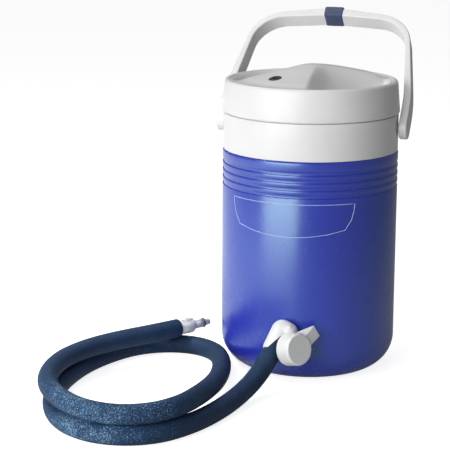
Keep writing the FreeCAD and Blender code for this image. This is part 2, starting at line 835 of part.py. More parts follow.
for index in range(int(number(screw_count))):
    spin = Rotation(Vector(0, 0, 1), 45 + 360.0 * index / number(screw_count))
    spot = spin.multVec(Vector(number(screw_circle), 0, 0))
    lid_posts.append(cylinder("post_%d" % index, screw_head + 0.6,
                              roof - lid_base - floor_flange + 1.0,
                              Placement(spot + Vector(0, 0, number(lid_base + floor_flange) + 0.2),
                                        Rotation())))
    lid_pilots.append(cylinder("pilot_%d" % index, screw_radius + 0.02, 12.0,
                               Placement(spot + Vector(0, 0, number(lid_base + floor_flange)),
                                         Rotation())))
lid_cuts = fuse("lid_cuts", scoops + [chamber, bar_hollow, well, socket_way, guide_mark])
lid_open = cut("lid_open", lid, lid_cuts)
lid_posted = fuse("lid_posted", [lid_open] + lid_posts)
lid_shell = cut("lid_shell", lid_posted, group("lid_pilots", lid_pilots))
keep(lid_shell, "lid_shell")

# Lid floor: a shallow plug with a flange, screwed up into the posts
lid_floor = new_body("lid_floor_body")
plug_radius = throat_radius - plug_gap
plug_bottom = lid_base - plug_depth
flange_radius = lid_radius - lid_wall - 0.4 - fit_gap
flange_top = lid_base + floor_flange
inside_floor = plug_bottom + lid_wall
gasket_low = plug_bottom + 4.0
turn(lid_floor, outline(lid_floor, "floor_profile", "XZ_Plane", [
    (0.0, plug_bottom),
    (plug_radius, plug_bottom),
    (plug_radius, gasket_low),
    (plug_radius - gasket_depth, gasket_low),
    (plug_radius - gasket_depth, gasket_low + gasket_height),
    (plug_radius, gasket_low + gasket_height),
    (plug_radius, lid_base + seat_gap),
    (flange_radius, lid_base + seat_gap),
    (flange_radius, flange_top),
    (plug_radius - gasket_depth - 1.2, flange_top),
    (plug_radius - gasket_depth - 1.2, inside_floor),
    (0.0, inside_floor),
]))
post_sketch = new_sketch(lid_floor, "board_posts", "XY_Plane", inside_floor - 0.5)
board_at = bar_axis * 44.0
for index, (across, forward) in enumerate(((-1, -1), (1, -1), (1, 1), (-1, 1))):
    spot = board_at + bar_spin.multVec(Vector(across * (number(board_width) / 2 - 3),
                                              forward * (number(board_length) / 2 - 3), 0))
    post_sketch.addGeometry(Part.Circle(Vector(spot.x, spot.y, 0), Vector(0, 0, 1), 2.2), False)
    post_sketch.addConstraint(Sketcher.Constraint("DistanceX", -1, 1, index, 3, spot.x))
    post_sketch.addConstraint(Sketcher.Constraint("DistanceY", -1, 1, index, 3, spot.y))
    post_sketch.addConstraint(Sketcher.Constraint("Radius", index, 2.2))
board_level = inside_floor + board_height
pad(lid_floor, post_sketch, board_height + 0.5 - seat_gap)
screw_seat = ring(lid_floor, "screw_seat", "XY_Plane",
                  [(screw_circle * 0.70710678, screw_circle * 0.70710678, screw_head + 0.2)],
                  lid_base + 2.2)
seat_cut = pocket(lid_floor, screw_seat, 6.0)
screw_way = ring(lid_floor, "screw_way", "XY_Plane",
                 [(screw_circle * 0.70710678, screw_circle * 0.70710678, screw_radius + 0.2)],
                 flange_top + 1.0)
way_cut = pocket(lid_floor, screw_way, floor_flange + 2.0)
doc.recompute()
around_z(lid_floor, [seat_cut, way_cut], screw_count)
doc.recompute()
vent_at = bar_axis * -number(valve_reach)
floor_ports = group("floor_ports", [
    cylinder("check_port", 4.0, 12.0, at(0, 12.5, plug_bottom - 2.0)),
    cylinder("vent_port", 1.5, 12.0, Placement(vent_at + Vector(0, 0, number(plug_bottom) - 2),
                                               Rotation())),
])
keep(cut("lid_floor", lid_floor, floor_ports), "lid_floor")

# Seal ring round the plug
keep(turned_body("lid_gasket", [
    (plug_radius - gasket_depth + seat_gap, gasket_low + seat_gap),
    (throat_radius - gasket_gap, gasket_low + seat_gap),
    (throat_radius - gasket_gap, gasket_low + gasket_height - seat_gap),
    (plug_radius - gasket_depth + seat_gap, gasket_low + gasket_height - seat_gap),
]), "lid_gasket")

# Screws that hold the floor to the lid
screw_parts = []
for index in range(int(number(screw_count))):
    spin = Rotation(Vector(0, 0, 1), 45 + 360.0 * index / number(screw_count))
    spot = spin.multVec(Vector(number(screw_circle), 0, 0))
    head = cylinder("head_%d" % index, screw_head, 1.8,
                    Placement(spot + Vector(0, 0, number(lid_base) + 0.4), Rotation()))
    shank = cylinder("shank_%d" % index, screw_radius, 12.0,
                     Placement(spot + Vector(0, 0, number(lid_base) + 2.0), Rotation()))
    screw_parts.append(fuse("screw_%d" % index, [head, shank]))
keep(group("lid_screws", screw_parts), "lid_screws")

# Power socket, pushed up under the bar's roof
jack = turned_body("power_socket", [
    (0.0, -socket_length),
    (socket_radius, -socket_length),
    (socket_radius, -0.8),
    (socket_radius - 0.8, 0.0),
    (socket_bore + 0.8, 0.0),
    (socket_bore, -0.8),
    (socket_bore, -10.0),
    (1.0, -10.0),
    (1.0, -1.6),
    (0.5, -1.2),
    (0.0, -1.2),
])
jack.Placement = along(socket_at + socket_lean * 0.5, socket_lean)
keep(jack, "power_socket")

# Vane pump: housing, cover and rotor, driven by the motor above it
pump_base = inside_floor + seat_gap
pump = new_body("pump_housing")
pump_top = pump_base + pump_height
pump_bore = rotor_radius + rotor_offset + 0.3
turn(pump, outline(pump, "pump_profile", "XZ_Plane", [
    (0.0, pump_base),
    (pump_radius, pump_base),
    (pump_radius, pump_top),
    (0.0, pump_top),
]))
pump_room = ring(pump, "pump_room", "XY_Plane", [(-rotor_offset, 0.0, pump_bore)], pump_top + 1.0)
pocket(pump, pump_room, pump_height - 1.0)
keep(pump, "pump_housing")

cover = turned_body("pump_cover", [
    (shaft_radius + 0.2, pump_top + seat_gap),
    (pump_radius, pump_top + seat_gap),
    (pump_radius, pump_top + seat_gap + 2.0),
    (shaft_radius + 0.2, pump_top + seat_gap + 2.0),
])
keep(cover, "pump_cover")

motor_base = pump_top + seat_gap * 2 + 2.0
rotor_low = pump_base + 2.0 + 0.4
rotor = new_body("pump_rotor")
turn(rotor, outline(rotor, "rotor_profile", "XZ_Plane", [
    (0.0, rotor_low),
    (rotor_radius, rotor_low),
    (rotor_radius, pump_top - 0.4),
    (shaft_radius, pump_top - 0.4),
    (shaft_radius, motor_base + 6.0),
    (0.0, motor_base + 6.0),
]))
vane_slot = outline(rotor, "vane_slot", "XY_Plane", [
    (rotor_radius - 5.0, -0.7),
    (rotor_radius + 1.0, -0.7),
    (rotor_radius + 1.0, 0.7),
    (rotor_radius - 5.0, 0.7),
], pump_top)
slot_cut = pocket(rotor, vane_slot, pump_height)
doc.recompute()
around_z(rotor, [slot_cut], 4)
keep(rotor, "pump_rotor")

motor = turned_body("pump_motor", [
    (shaft_radius + 0.05, motor_base),
    (motor_radius - 1.5, motor_base),
    (motor_radius, motor_base + 1.5),
    (motor_radius, motor_base + motor_length - 1.5),
    (motor_radius - 1.5, motor_base + motor_length),
    (0.0, motor_base + motor_length),
    (0.0, motor_base + 6.4),
    (shaft_radius + 0.05, motor_base + 6.4),
])
keep(motor, "pump_motor")

# Duckbill that lets air into the tank
duckbill = turned_body("check_valve", [
    (0.0, plug_bottom - 6.0),
    (1.0, plug_bottom - 6.0),
    (3.8, plug_bottom - seat_gap - 1.5),
    (5.5, plug_bottom - seat_gap - 1.5),
    (5.5, plug_bottom - seat_gap),
    (3.8, plug_bottom - seat_gap),
    (3.8, inside_floor),
    (0.0, inside_floor),
])
duckbill.Placement = at(0, 12.5, 0)
keep(duckbill, "check_valve")

# Vent valve: a coil on the lid floor and the plunger that closes the port
coil = turned_body("vent_coil", [
    (plunger_radius + 0.3, pump_base),
    (valve_radius, pump_base),
    (valve_radius, pump_base + valve_height),
    (0.0, pump_base + valve_height),
    (0.0, pump_base + valve_height - 3.0),
    (plunger_radius + 0.3, pump_base + valve_height - 3.0),
])
coil.Placement = Placement(vent_at, Rotation())
keep(coil, "vent_coil")
plunger = turned_body("vent_plunger", [
    (0.0, inside_floor + 0.3),
    (plunger_radius - 0.6, inside_floor + 0.3),
    (plunger_radius, inside_floor + 1.2),
    (plunger_radius, pump_base + valve_height - 3.4 - plunger_travel),
    (0.0, pump_base + valve_height - 3.4 - plunger_travel),
])
plunger.Placement = Placement(vent_at, Rotation())
keep(plunger, "vent_plunger")

# Circuit board on its four posts
board = box("board_plate", board_width, board_length, 1.6)
board_place = Placement(board_at + Vector(0, 0, number(board_level))
                        - bar_spin.multVec(Vector(number(board_width) / 2,
                                                  number(board_length) / 2, 0)), bar_spin)
chips = []
for name, x, y, wide, deep, tall in (("chip", 8, 26, 12, 8, 2.2), ("capacitor", 3, 6, 8, 8, 9),
                                     ("relay", 14, 7, 10, 14, 8), ("header", 4, 38, 16, 4, 6)):
    piece = box(name, wide, deep, tall)
    piece.Placement = at(x, y, 1.5)
    chips.append(piece)
circuit = fuse("circuit_board", [board] + chips)
circuit.Placement = board_place
keep(circuit, "circuit_board")

# ---------------------------------------------------------------- tap

# The valve's own axis points right, forward and a little up.
valve_turn = 55.0
valve_rise = 12.0
flat = math.cos(math.radians(valve_rise))
valve_axis = Vector(flat * math.sin(math.radians(valve_turn)),
                    -flat * math.cos(math.radians(valve_turn)),
                    math.sin(math.radians(valve_rise)))
stem_face = boss_face + seat_gap + washer_thick + seat_gap
valve_side = -1.0
valve_heart = Vector(valve_side, -number(stem_face) - 13.0, number(stem_height) - 7.8)
cap_front = 31.5
barrel_back = 9.9
barrel_front = 24.5
barrel_floor = 2.0
gland_thick = 2.7
plug_start = barrel_back + barrel_floor + 0.3
plug_length = barrel_front - gland_thick - 0.1 - plug_start
port_level = 3.2
ring_level = plug_length - 1.4

# Route of the hose's centre line: out of the tap, down to the floor, twice round
route = [
    (-4.6, -114.6, 57.2), (-12, -131, 36.5), (-21.5, -160.5, 18.8), (-31, -203, 11.4),
    (-40, -249, 10.8), (-53, -288, 10.8), (-75, -323, 10.8), (-110, -341, 10.8),
    (-149, -338, 10.8), (-183, -315, 10.8), (-208, -278, 10.8), (-225, -231, 10.8),
    (-231, -180, 10.8), (-228, -124, 10.8), (-213, -73, 10.8), (-193, -39, 10.8),
    (-162, -20, 10.8), (-128, -19, 10.8), (-101, -37, 10.8), (-84, -69, 12),
    (-71, -112, 15), (-61, -158, 20.5), (-54, -204, 26.8), (-52, -251, 31.9),
    (-60, -296, 32.6), (-82, -329, 32.6), (-118, -343, 32.6), (-156, -333, 32.6),
    (-190, -306, 32.6), (-218, -268, 32.6), (-232, -224, 32.6), (-234, -178, 32.6),
    (-222, -134, 32.6), (-200, -95, 32.6), (-171, -58, 32.6), (-150.5, -28, 32.6),
]
points = [Vector(*spot) for spot in route]
mouth_axis = (points[1] - points[0]).normalize()
socket_depth = 14.0
elbow_mouth = points[0] + mouth_axis * socket_depth
elbow_knuckle = points[0] - mouth_axis * 10.0

# Body: stem through the wall, flange, valve barrel, knuckle and hose socket
front_turn = Rotation(Vector(0, 0, 1), Vector(0, -1, 0))
seat_flat = seat_inner - seat_gap - washer_thick - seat_gap
stem_back = seat_flat - nut_thick - 2.5
stem_start = Vector(0, -number(stem_back), number(stem_height))
stem = cylinder("stem", stem_radius, stem_face - stem_back + 1.0, Placement(stem_start, front_turn))
flange = cylinder("flange", tap_flange, tap_flange_thick,
                  Placement(Vector(0, -number(stem_face), number(stem_height)), front_turn))
neck = cylinder("neck", stem_radius + 2.5, 10.0,
                Placement(Vector(0, -number(stem_face), number(stem_height)), front_turn))
barrel = cylinder("barrel", barrel_radius, barrel_front - barrel_back,
                  along(valve_heart + valve_axis * barrel_back, valve_axis))
knuckle = doc.addObject("Part::Sphere", "knuckle")
bind(knuckle, "Radius", elbow_radius)
knuckle.Placement = Placement(elbow_knuckle, Rotation())
socket_tube = cylinder("socket_tube", elbow_radius, (elbow_mouth - elbow_knuckle).Length,
                       along(elbow_knuckle, mouth_axis))
inlet_start = Vector(0, -number(stem_face) - 3.0, number(stem_height))
inlet_end = valve_heart + valve_axis * (barrel_back + barrel_floor)
outlet_end = points[0] - mouth_axis * 8.0
level_at = valve_heart + valve_axis * (plug_start + port_level)
outlet_side = outlet_end - level_at
outlet_side = (outlet_side - valve_axis * outlet_side.dot(valve_axis)).normalize()
outlet_start = level_at + outlet_side * (number(barrel_bore) - 0.6)


def pipe_between(label, radius, start, end):
    way = end - start
    return cylinder(label, radius, way.Length, along(start, way))


inlet_arm = pipe_between("inlet_arm", port_radius + 3.5, inlet_start, inlet_end)
outlet_arm = pipe_between("outlet_arm", port_radius, outlet_start, outlet_end)
front_solid = fuse("front_solid", [flange, neck, barrel, knuckle, socket_tube, inlet_arm, outlet_arm])
behind = box("behind_flange", 80.0, 40.0, 80.0,
             at(-40, -stem_face, number(stem_height) - 40))
tap_solid = fuse("tap_solid", [stem, cut("front_trimmed", front_solid, behind)])
tap_bores = fuse("tap_bores", [
    cylinder("stem_way", stem_bore, stem_face - stem_back + 6.0,
             Placement(stem_start + Vector(0, 1, 0), front_turn)),
    cylinder("valve_way", barrel_bore, 40.0,
             along(valve_heart + valve_axis * (barrel_back + barrel_floor), valve_axis)),
    pipe_between("inlet_way", port_radius - 0.5, inlet_start, inlet_end + valve_axis * 1.0),
    pipe_between("outlet_way", port_radius - 1.0, outlet_start, outlet_end),
    cylinder("drop_way", port_radius - 0.5, 40.0, along(outlet_end, mouth_axis)),
    cut("socket_ring",
        cylinder("socket_room", sleeve_radius + fit_gap, 30.0, along(points[0], mouth_axis)),
        cylinder("tap_barb", barb_radius, barb_length,
                 along(points[0] - mouth_axis * 1.0, mouth_axis))),
])
keep(cut("tap_body", tap_solid, tap_bores), "tap_body")

# Washers each side of the wall, and the nut inside the tank
outer_washer = cut("washer_outer",
                   cylinder("washer_disc", tap_flange - 0.5, washer_thick),
                   cylinder("washer_eye", stem_hole, washer_thick))
outer_washer.Placement = Placement(Vector(0, -number(boss_face + seat_gap), number(stem_height)),
                                   front_turn)
keep(outer_washer, "tap_washer_outer")
inner_washer = cut("washer_inner",
                   cylinder("seal_disc", tap_flange - 1.0, washer_thick),
                   cylinder("seal_eye", stem_hole, washer_thick))
inner_washer.Placement = Placement(
    Vector(0, -number(seat_inner - seat_gap - washer_thick), number(stem_height)), front_turn)
keep(inner_washer, "tap_washer_inner")
hexagon = doc.addObject("Part::Prism", "hexagon")
hexagon.Polygon = 6
bind(hexagon, "Circumradius", nut_flats * 0.57735027)
bind(hexagon, "Height", nut_thick)
lock_nut = cut("nut_blank", hexagon, cylinder("nut_eye", stem_radius + 0.05, nut_thick))
lock_nut.Placement = Placement(Vector(0, -number(seat_flat - nut_thick), number(stem_height)),
                               front_turn)
keep(lock_nut, "tap_nut")

# Plug: open at its back, with a side port that meets the way out when it is open
plug_core = cylinder("plug_core", barrel_bore - plug_clearance, plug_length)
spindle = cylinder("spindle", spindle_radius, cap_front - 1.6 - plug_start)
plug_solid = fuse("plug_solid", [plug_core, spindle])
plug_place = along(valve_heart + valve_axis * plug_start, valve_axis)
port_way = plug_place.Rotation.inverted().multVec(outlet_side)
ring_seat = doc.addObject("Part::Torus", "ring_seat")
bind(ring_seat, "Radius1", barrel_bore - 0.9)
bind(ring_seat, "Radius2", ring_section + 0.1)
ring_seat.Placement = at(0, 0, ring_level)
plug_ways = fuse("plug_ways", [
    cylinder("plug_in", port_radius, port_level + 1.0 + 1.6, at(0, 0, -1.0)),
    cylinder("plug_out", port_radius - 0.6, 20.0, along(Vector(0, 0, port_level), port_way)),
    ring_seat,
])
tap_plug = cut("tap_plug", plug_solid, plug_ways)
tap_plug.Placement = plug_place
keep(tap_plug, "tap_plug")
tap_ring = doc.addObject("Part::Torus", "tap_oring")
bind(tap_ring, "Radius1", barrel_bore - 0.9)
bind(tap_ring, "Radius2", ring_section)
tap_ring.Placement = plug_place.multiply(at(0, 0, ring_level))
keep(tap_ring, "tap_oring")

# Ring that holds the plug in the barrel
gland = cut("gland_ring", cylinder("gland_disc", barrel_bore - 0.02, gland_thick),
            cylinder("gland_eye", spindle_radius + 0.3, gland_thick))
gland.Placement = along(valve_heart + valve_axis * (barrel_front - gland_thick), valve_axis)
keep(gland, "tap_gland_ring")

# Cap with its wing lever, pressed on the spindle
cap = new_body("cap_body")
cap_back = -cap_length
turn(cap, outline(cap, "cap_profile", "XZ_Plane", [
    (0.0, 0.0),
    (cap_face, 0.0),
    (cap_radius - 0.6, -2.4),
    (cap_radius, cap_back),
    (cap_radius - cap_wall + 1.2, cap_back),
    (cap_face - cap_wall + 0.4, -cap_wall),
    (spindle_radius + 2.6, -cap_wall),
    (spindle_radius + 2.6, -(cap_wall + 3.6)),
    (spindle_radius + 0.02, -(cap_wall + 3.6)),
    (spindle_radius + 0.02, -1.5),
    (0.0, -1.5),
]))
lever_side = outline(cap, "lever_side", "XZ_Plane", [
    (cap_face - 4.0, -1.2),
    (lever_reach, -3.0),
    (lever_reach, -3.0 - lever_tip),
    (cap_radius - 1.4, -1.8 - lever_root),
    (cap_face - 1.6, -1.8 - lever_root),
    (cap_face - 3.2, -4.0),
])
pad(cap, lever_side, lever_width, middle=True)
doc.recompute()
cap_right = Vector(math.cos(math.radians(valve_turn)), math.sin(math.radians(valve_turn)), 0)
cap_up = valve_axis.cross(cap_right)
swing = math.radians(number(lever_angle))
lever_way = cap_right * math.cos(swing) + cap_up * math.sin(swing)
lever_side_way = valve_axis.cross(lever_way)
cap_turn = Rotation(lever_way, lever_side_way, valve_axis, "ZXY")
cap.Placement = Placement(valve_heart + valve_axis * cap_front, cap_turn)
keep(cap, "tap_knob")

# ---------------------------------------------------------------- hose


def smooth_path(spots):
    """Straight runs joined by tangent arcs; returns the wire and its radii."""
    edges = []
    radii = []
    start = spots[0]
    for before, here, after in zip(spots, spots[1:], spots[2:]):
        back = before - here
        ahead = after - here
        reach = 0.45 * min(back.Length, ahead.Length)
        bend = math.pi - back.getAngle(ahead)
        radius = reach / math.tan(bend / 2)
        back.normalize()
        ahead.normalize()
        arc_start = here + back * reach
        arc_end = here + ahead * reach
        middle = back + ahead
        middle.normalize()
        arc_middle = here + middle * (math.hypot(radius, reach) - radius)
        edges.append(Part.LineSegment(start, arc_start).toShape())
        edges.append(Part.Arc(arc_start, arc_middle, arc_end).toShape())
        radii.append(round(radius, 1))
        start = arc_end
    edges.append(Part.LineSegment(start, spots[-1]).toShape())
    return Part.Wire(edges), radii


path, path_radii = smooth_path(points)
print("hose length", round(path.Length, 1), "radii", path_radii)


def hose_layer(label, outer, inner):
    """One round wall swept along the hose's route."""
    solids = []
    for radius in (outer, inner):
        circle = Part.makeCircle(number(radius), points[0], mouth_axis)
        solids.append(path.makePipeShell([Part.Wire([circle])], True, False))
    thing = doc.addObject("Part::Feature", label)
    thing.Shape = solids[0].cut(solids[1])
    area = math.pi * (number(outer) ** 2 - number(inner) ** 2)
    print(label, "volume over section times length", thing.Shape.Volume / (area * path.Length))
    return keep(thing, label)


hose_layer("hose_sleeve", sleeve_radius, sleeve_bore)
hose_layer("hose_tube", tube_radius, tube_bore)

# ---------------------------------------------------------------- quick connector

end_axis = (points[-1] - points[-2]).normalize()
end_side = Vector(0, 0, 1).cross(end_axis)
end_turn = Rotation(end_side, Vector(0, 0, 1), end_axis, "ZXY")
end_place = Placement(points[-1], end_turn)

groove_at = collar_length + seal_reach
insert = turned_body("coupling_insert", [
    (insert_bore, -barb_length),
    (barb_radius - 0.8, -barb_length),
    (barb_radius, 3.0 - barb_length),
    (barb_radius, fit_gap),
    (insert_body, fit_gap),
    (insert_body, collar_length + 2.8),
    (insert_barrel, collar_length + 3.2),
    (insert_barrel, groove_at - 1.0),
    (insert_barrel - 1.0, groove_at - 1.0),
    (insert_barrel - 1.0, groove_at + 1.0),
    (insert_barrel - 0.2, groove_at + 1.0),
    (insert_barrel - 0.2, groove_at + 2.4),
    (insert_tip, groove_at + 2.8),
    (insert_tip, groove_at + tip_reach - 0.6),
    (insert_tip - 0.6, groove_at + tip_reach),
    (insert_bore, groove_at + tip_reach),
])
insert.Placement = end_place
keep(insert, "coupling_insert")

seal_ring = doc.addObject("Part::Torus", "coupling_seal")
bind(seal_ring, "Radius1", insert_barrel - 0.2)
bind(seal_ring, "Radius2", ring_section)
seal_ring.Placement = end_place.multiply(at(0, 0, groove_at))
keep(seal_ring, "coupling_oring")

# Collar with the pocket that the latch button drops into
sleeve = new_body("coupling_collar")
turn(sleeve, outline(sleeve, "coupling_profile", "XZ_Plane", [
    (insert_body + 0.05, fit_gap),
    (collar_body - 0.9, fit_gap),
    (collar_body, 1.2),
    (collar_body, collar_length - 2.4),
    (collar_body - 1.6, collar_length),
    (insert_body + 0.05, collar_length),
]))
button_from = collar_length - 2.8 - button_length
button_seat = insert_body + 0.8
slot_sketch = outline(sleeve, "button_pocket", "XZ_Plane", [
    (-(button_width / 2) - 0.3, button_from - 0.3),
    (button_width / 2 + 0.3, button_from - 0.3),
    (button_width / 2 + 0.3, button_from + button_length + 0.3),
    (-(button_width / 2) - 0.3, button_from + button_length + 0.3),
], -button_seat)
pocket(sleeve, slot_sketch, 6.0)
sleeve.Placement = end_place
keep(sleeve, "coupling_collar")

button = new_body("latch_button")
button_low = button_seat + button_travel + 0.2
pad(button, outline(button, "button_outline", "XZ_Plane", [
    (-(button_width / 2), button_from),
    (button_width / 2, button_from),
    (button_width / 2, button_from + button_length),
    (-(button_width / 2), button_from + button_length),
], -button_low), collar_body + 0.9 - button_low, backward=True)
button.Placement = end_place
keep(button, "latch_button")

# ---------------------------------------------------------------- checks and files

doc.recompute()
broken = [thing.Label for thing in doc.Objects
          if "Invalid" in thing.State or "Error" in thing.State]
if broken:
    raise RuntimeError("failed objects: %s" % broken)
os.makedirs("parts", exist_ok=True)
for label, thing in nodes:
    shape = thing.Shape
    if shape.isNull() or not shape.isValid() or shape.Volume <= 0 or not shape.Solids:
        raise RuntimeError("bad shape: %s" % label)
    shape.exportStep(os.path.join("parts", label + ".step"))
    print("%-18s %2d solids %10.1f mm3" % (label, len(shape.Solids), shape.Volume))
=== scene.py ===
import math

import bmesh
import bpy
from bpy.props import FloatProperty, FloatVectorProperty, IntProperty, PointerProperty
from mathutils import Matrix, Vector


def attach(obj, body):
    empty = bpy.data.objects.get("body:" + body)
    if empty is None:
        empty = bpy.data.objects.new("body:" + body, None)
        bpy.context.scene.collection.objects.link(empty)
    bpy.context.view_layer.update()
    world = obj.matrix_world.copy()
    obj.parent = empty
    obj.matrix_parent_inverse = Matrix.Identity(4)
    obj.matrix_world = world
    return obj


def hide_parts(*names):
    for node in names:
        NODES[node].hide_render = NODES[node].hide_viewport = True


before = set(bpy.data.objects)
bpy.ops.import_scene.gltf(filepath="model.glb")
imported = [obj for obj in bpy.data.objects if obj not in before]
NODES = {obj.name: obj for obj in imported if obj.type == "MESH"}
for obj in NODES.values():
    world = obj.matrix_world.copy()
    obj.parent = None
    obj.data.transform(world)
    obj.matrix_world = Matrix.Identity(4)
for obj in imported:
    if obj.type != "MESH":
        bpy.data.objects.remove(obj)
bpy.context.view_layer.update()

bl_info = {
    "name": "Therapy jug",
    "version": (1, 0, 0),
    "blender": (4, 5, 0),
    "location": "3D View > Sidebar > Therapy jug",
    "description": "Hot and cold therapy jug with its lid, handle, tap and hose",
    "category": "Add Mesh",
}

MM = 0.001

# Camera: sensor and lens in mm, its place in metres and the way it is turned
SENSOR = 36.0
LENS = 131.85
CAMERA_PLACE = (0.43431, -1.80901, 0.57723)
CAMERA_RIGHT = Vector((0.95853, 0.28494, 0.00533))
CAMERA_UP = Vector((-0.06731, 0.20797, 0.97582))

# Soft lights: name, place, the spot it aims at, size, watts and spread in degrees
LIGHTS = (
    ("key light", (-1.08, -2.45, 0.90), (0, -0.05, 0.16), (2.4, 1.8), 72.0, 180),
    ("top light", (-0.45, 0.20, 1.75), (0, -0.05, 0.16), (1.2, 1.2), 8.0, 180),
    ("hose light", (-0.60, -0.25, 0.95), (-0.21, -0.13, 0.0), (0.2, 0.2), 0.31, 30),
)

# Floor: half its width, its paint, how bright it looks, and a painted reflection: a glow
# that glossy pieces see in it, though it is no lamp, which falls off from one x to the other
FLOOR_REACH = 6.0
FLOOR_PAINT = 0.62
FLOOR_SEEN = 0.84
SHEEN_FROM, SHEEN_TO = -0.50, 0.0
SHEEN_BRIGHT, SHEEN_DIM = 1.0, 0.05

# Backdrop: the light it sheds, how bright it looks and how bright glossy pieces show it
BACKDROP_LIGHT = 0.145
BACKDROP_SEEN = 0.855
BACKDROP_SHEEN = 0.14

# Hose foam: the spot where painted sheen stands for light on the coil's front and lifts its
# pale flecks, and the reach over which that fades to painted shade
PAINTED_SHEEN_SPOT = (-0.145, -0.330, 0.030)
PAINTED_SHEEN_NEAR, PAINTED_SHEEN_FAR = 0.035, 0.125

# From here on, lengths are in mm.
# The hose's centre line, out of the tap and about one and a half times round the floor
HOSE_ROUTE = [
    (-4.6, -114.6, 57.2), (-12, -131, 36.5), (-21.5, -160.5, 18.8), (-31, -203, 11.4),
    (-40, -249, 10.8), (-53, -288, 10.8), (-75, -323, 10.8), (-110, -341, 10.8),
    (-149, -338, 10.8), (-183, -315, 10.8), (-208, -278, 10.8), (-225, -231, 10.8),
    (-231, -180, 10.8), (-228, -124, 10.8), (-213, -73, 10.8), (-193, -39, 10.8),
    (-162, -20, 10.8), (-128, -19, 10.8), (-101, -37, 10.8), (-84, -69, 12),
    (-71, -112, 15), (-61, -158, 20.5), (-54, -204, 26.8), (-52, -251, 31.9),
    (-60, -296, 32.6), (-82, -329, 32.6), (-118, -343, 32.6), (-156, -333, 32.6),
    (-190, -306, 32.6), (-218, -268, 32.6), (-232, -224, 32.6), (-234, -178, 32.6),
    (-222, -134, 32.6), (-200, -95, 32.6), (-171, -58, 32.6), (-150.5, -28, 32.6),
]

# Jug's wall: radius outside and inside, top, and the four bands of grooves
WALL, WALL_INSIDE, WALL_TOP = 100.0, 97.5, 253.2
GROOVES = 4
GROOVE_LOWEST, GROOVE_STEP = 212.6, 8.5
GROOVE_FLOOR, GROOVE_HEIGHT, GROOVE_SLOPE = 98.7, 3.6, 0.3
GROOVE_ROUND = 0.35
WALL_STEPS = 32    # further facets round the wall, beyond those of other turned pieces

# Outline of the front panel, as distance from the middle and height
PANEL_LINE = [
    (-68.8, 206.0), (-34.0, 206.0), (0.0, 206.0), (34.0, 206.0), (68.8, 206.0),
    (68.2, 198.0), (66.0, 188.0), (60.0, 177.0), (42.0, 172.6), (21.0, 169.9), (0.0, 169.0),
    (-21.0, 169.9), (-42.0, 172.6), (-60.0, 177.0), (-66.0, 188.0), (-68.2, 198.0),
]
PANEL_LINE_RADIUS = 0.33
PANEL_LINE_STEPS = 8

# Boss on the wall that the tap's washer seals on
SEAT_RADIUS, SEAT_DEPTH = 15.5, 6.0
SEAT_PLACE = (0, -98.2, 54.0)

# Lid: a bar that runs front left to back right, waisted by a finger scoop each side.
# CREST to LID_EDGE are heights, and SCOOP_EDGE is the radius where the scoops end.
BAR_TURN = math.radians(29.0)
SCOOP_EDGE = 90.3
CREST = 348.5
BRIM = 331.0
SCOOP_FLOOR = 319.5
LID_UNDERSIDE = 317.9
LID_EDGE = 296.1

# Power socket in the bar's front end: distance from the lid's middle, height and lean
SOCKET_REACH, SOCKET_HEIGHT, SOCKET_LEAN = 59.5, 337.55, 0.23

# Guide marks beside the rim: x, y, turn in degrees and length
MARKS = ((-18.0, -83.0, 12.0, 8.0), (-47.0, -72.5, 30.0, 6.0))

# Bail handle: its pivots' place, how far it leans back at rest, the height of its grip
# over the pivots and the size of the band round it
PIVOT = Vector((0.0, 8.0, 279.6))
LEAN = math.radians(44.0)
GRIP_HEIGHT = 155.4
BAND_SIZE = (23.0, 22.2, 13.4)

# Tap: its hood's rounded back runs from knuckle to shoulder, its front along the hose,
# and a small nub stands on top
KNUCKLE = Vector((-1.9, -108.6, 64.75))
SHOULDER = Vector((5.6, -111.0, 64.6))
HOOD_RADIUS = 12.4
NUB = (7.9, -116.5, 72.6)

# The edge of the hood's slanted mouth, from its low left end, and the way the cut runs
MOUTH_LOW = Vector((-18.8, -123.7, 45.5))
MOUTH_HIGH = Vector((-2.5, -114.8, 60.5))
MOUTH_THROUGH = Vector((-0.2442, 0.9267, -0.2857))

# Lever: the way its cap faces, the turn of its wing, and the corners of the wing's raised
# back as distances along the wing, up it and out from the cap's face
CAP_FACING = Vector((0.80125, -0.56104, 0.20791))
CAP_ROOT = Vector((-1.0, -115.9, 46.2))
CAP_FACE = 31.5
WING_LEVEL, WING_SWING = math.radians(55), math.radians(27)
WING_CORNERS = (
    (14.0, 6.4, -2.0), (33.8, 6.6, -3.2), (33.4, 7.6, -5.8), (12.6, 13.6, -10.0),
    (15.0, 2.0, -4.0), (33.0, 2.0, -4.2), (14.0, 6.0, -11.5),
)


# ------------------------------------------------------------------ settings

def colour(name, description, default):
    """One colour setting"""
    return FloatVectorProperty(name=name, description=description, subtype="COLOR",
                               size=3, min=0.0, max=1.0, default=default)


class TherapyJugColours(bpy.types.PropertyGroup):
    """Colours of the jug's finishes, as linear values"""

    white: colour("White", "Lid, collar, handle and tap", (0.80, 0.805, 0.80))
    blue: colour("Blue", "The jug's outer wall", (0.022, 0.031, 0.410))
    foam: colour("Hose foam", "Insulation round the hose", (0.010, 0.037, 0.094))
    speckle: colour("Hose speckle", "Light flecks in the hose's foam", (0.25, 0.43, 0.58))
    band: colour("Grip band", "Band round the middle of the handle", (0.040, 0.055, 0.125))
    fitting: colour("Fitting", "The quick connector", (0.93, 0.93, 0.87))
    line: colour("Panel line", "Raised outline on the front", (0.50, 0.64, 0.95))


class TherapyJugSizes(bpy.types.PropertyGroup):
    """Sizes that a user would change"""

    hose: FloatProperty(name="Hose diameter", description="Outside of the foam", unit="LENGTH",
                        default=21.5 * MM, min=0.015, max=0.03)
    steps: IntProperty(name="Steps round", description="Facets round a turned piece",
                       default=160, min=32, max=256)


def colours():
    """The colours set in the panel"""
    return bpy.context.scene.therapy_jug_colours


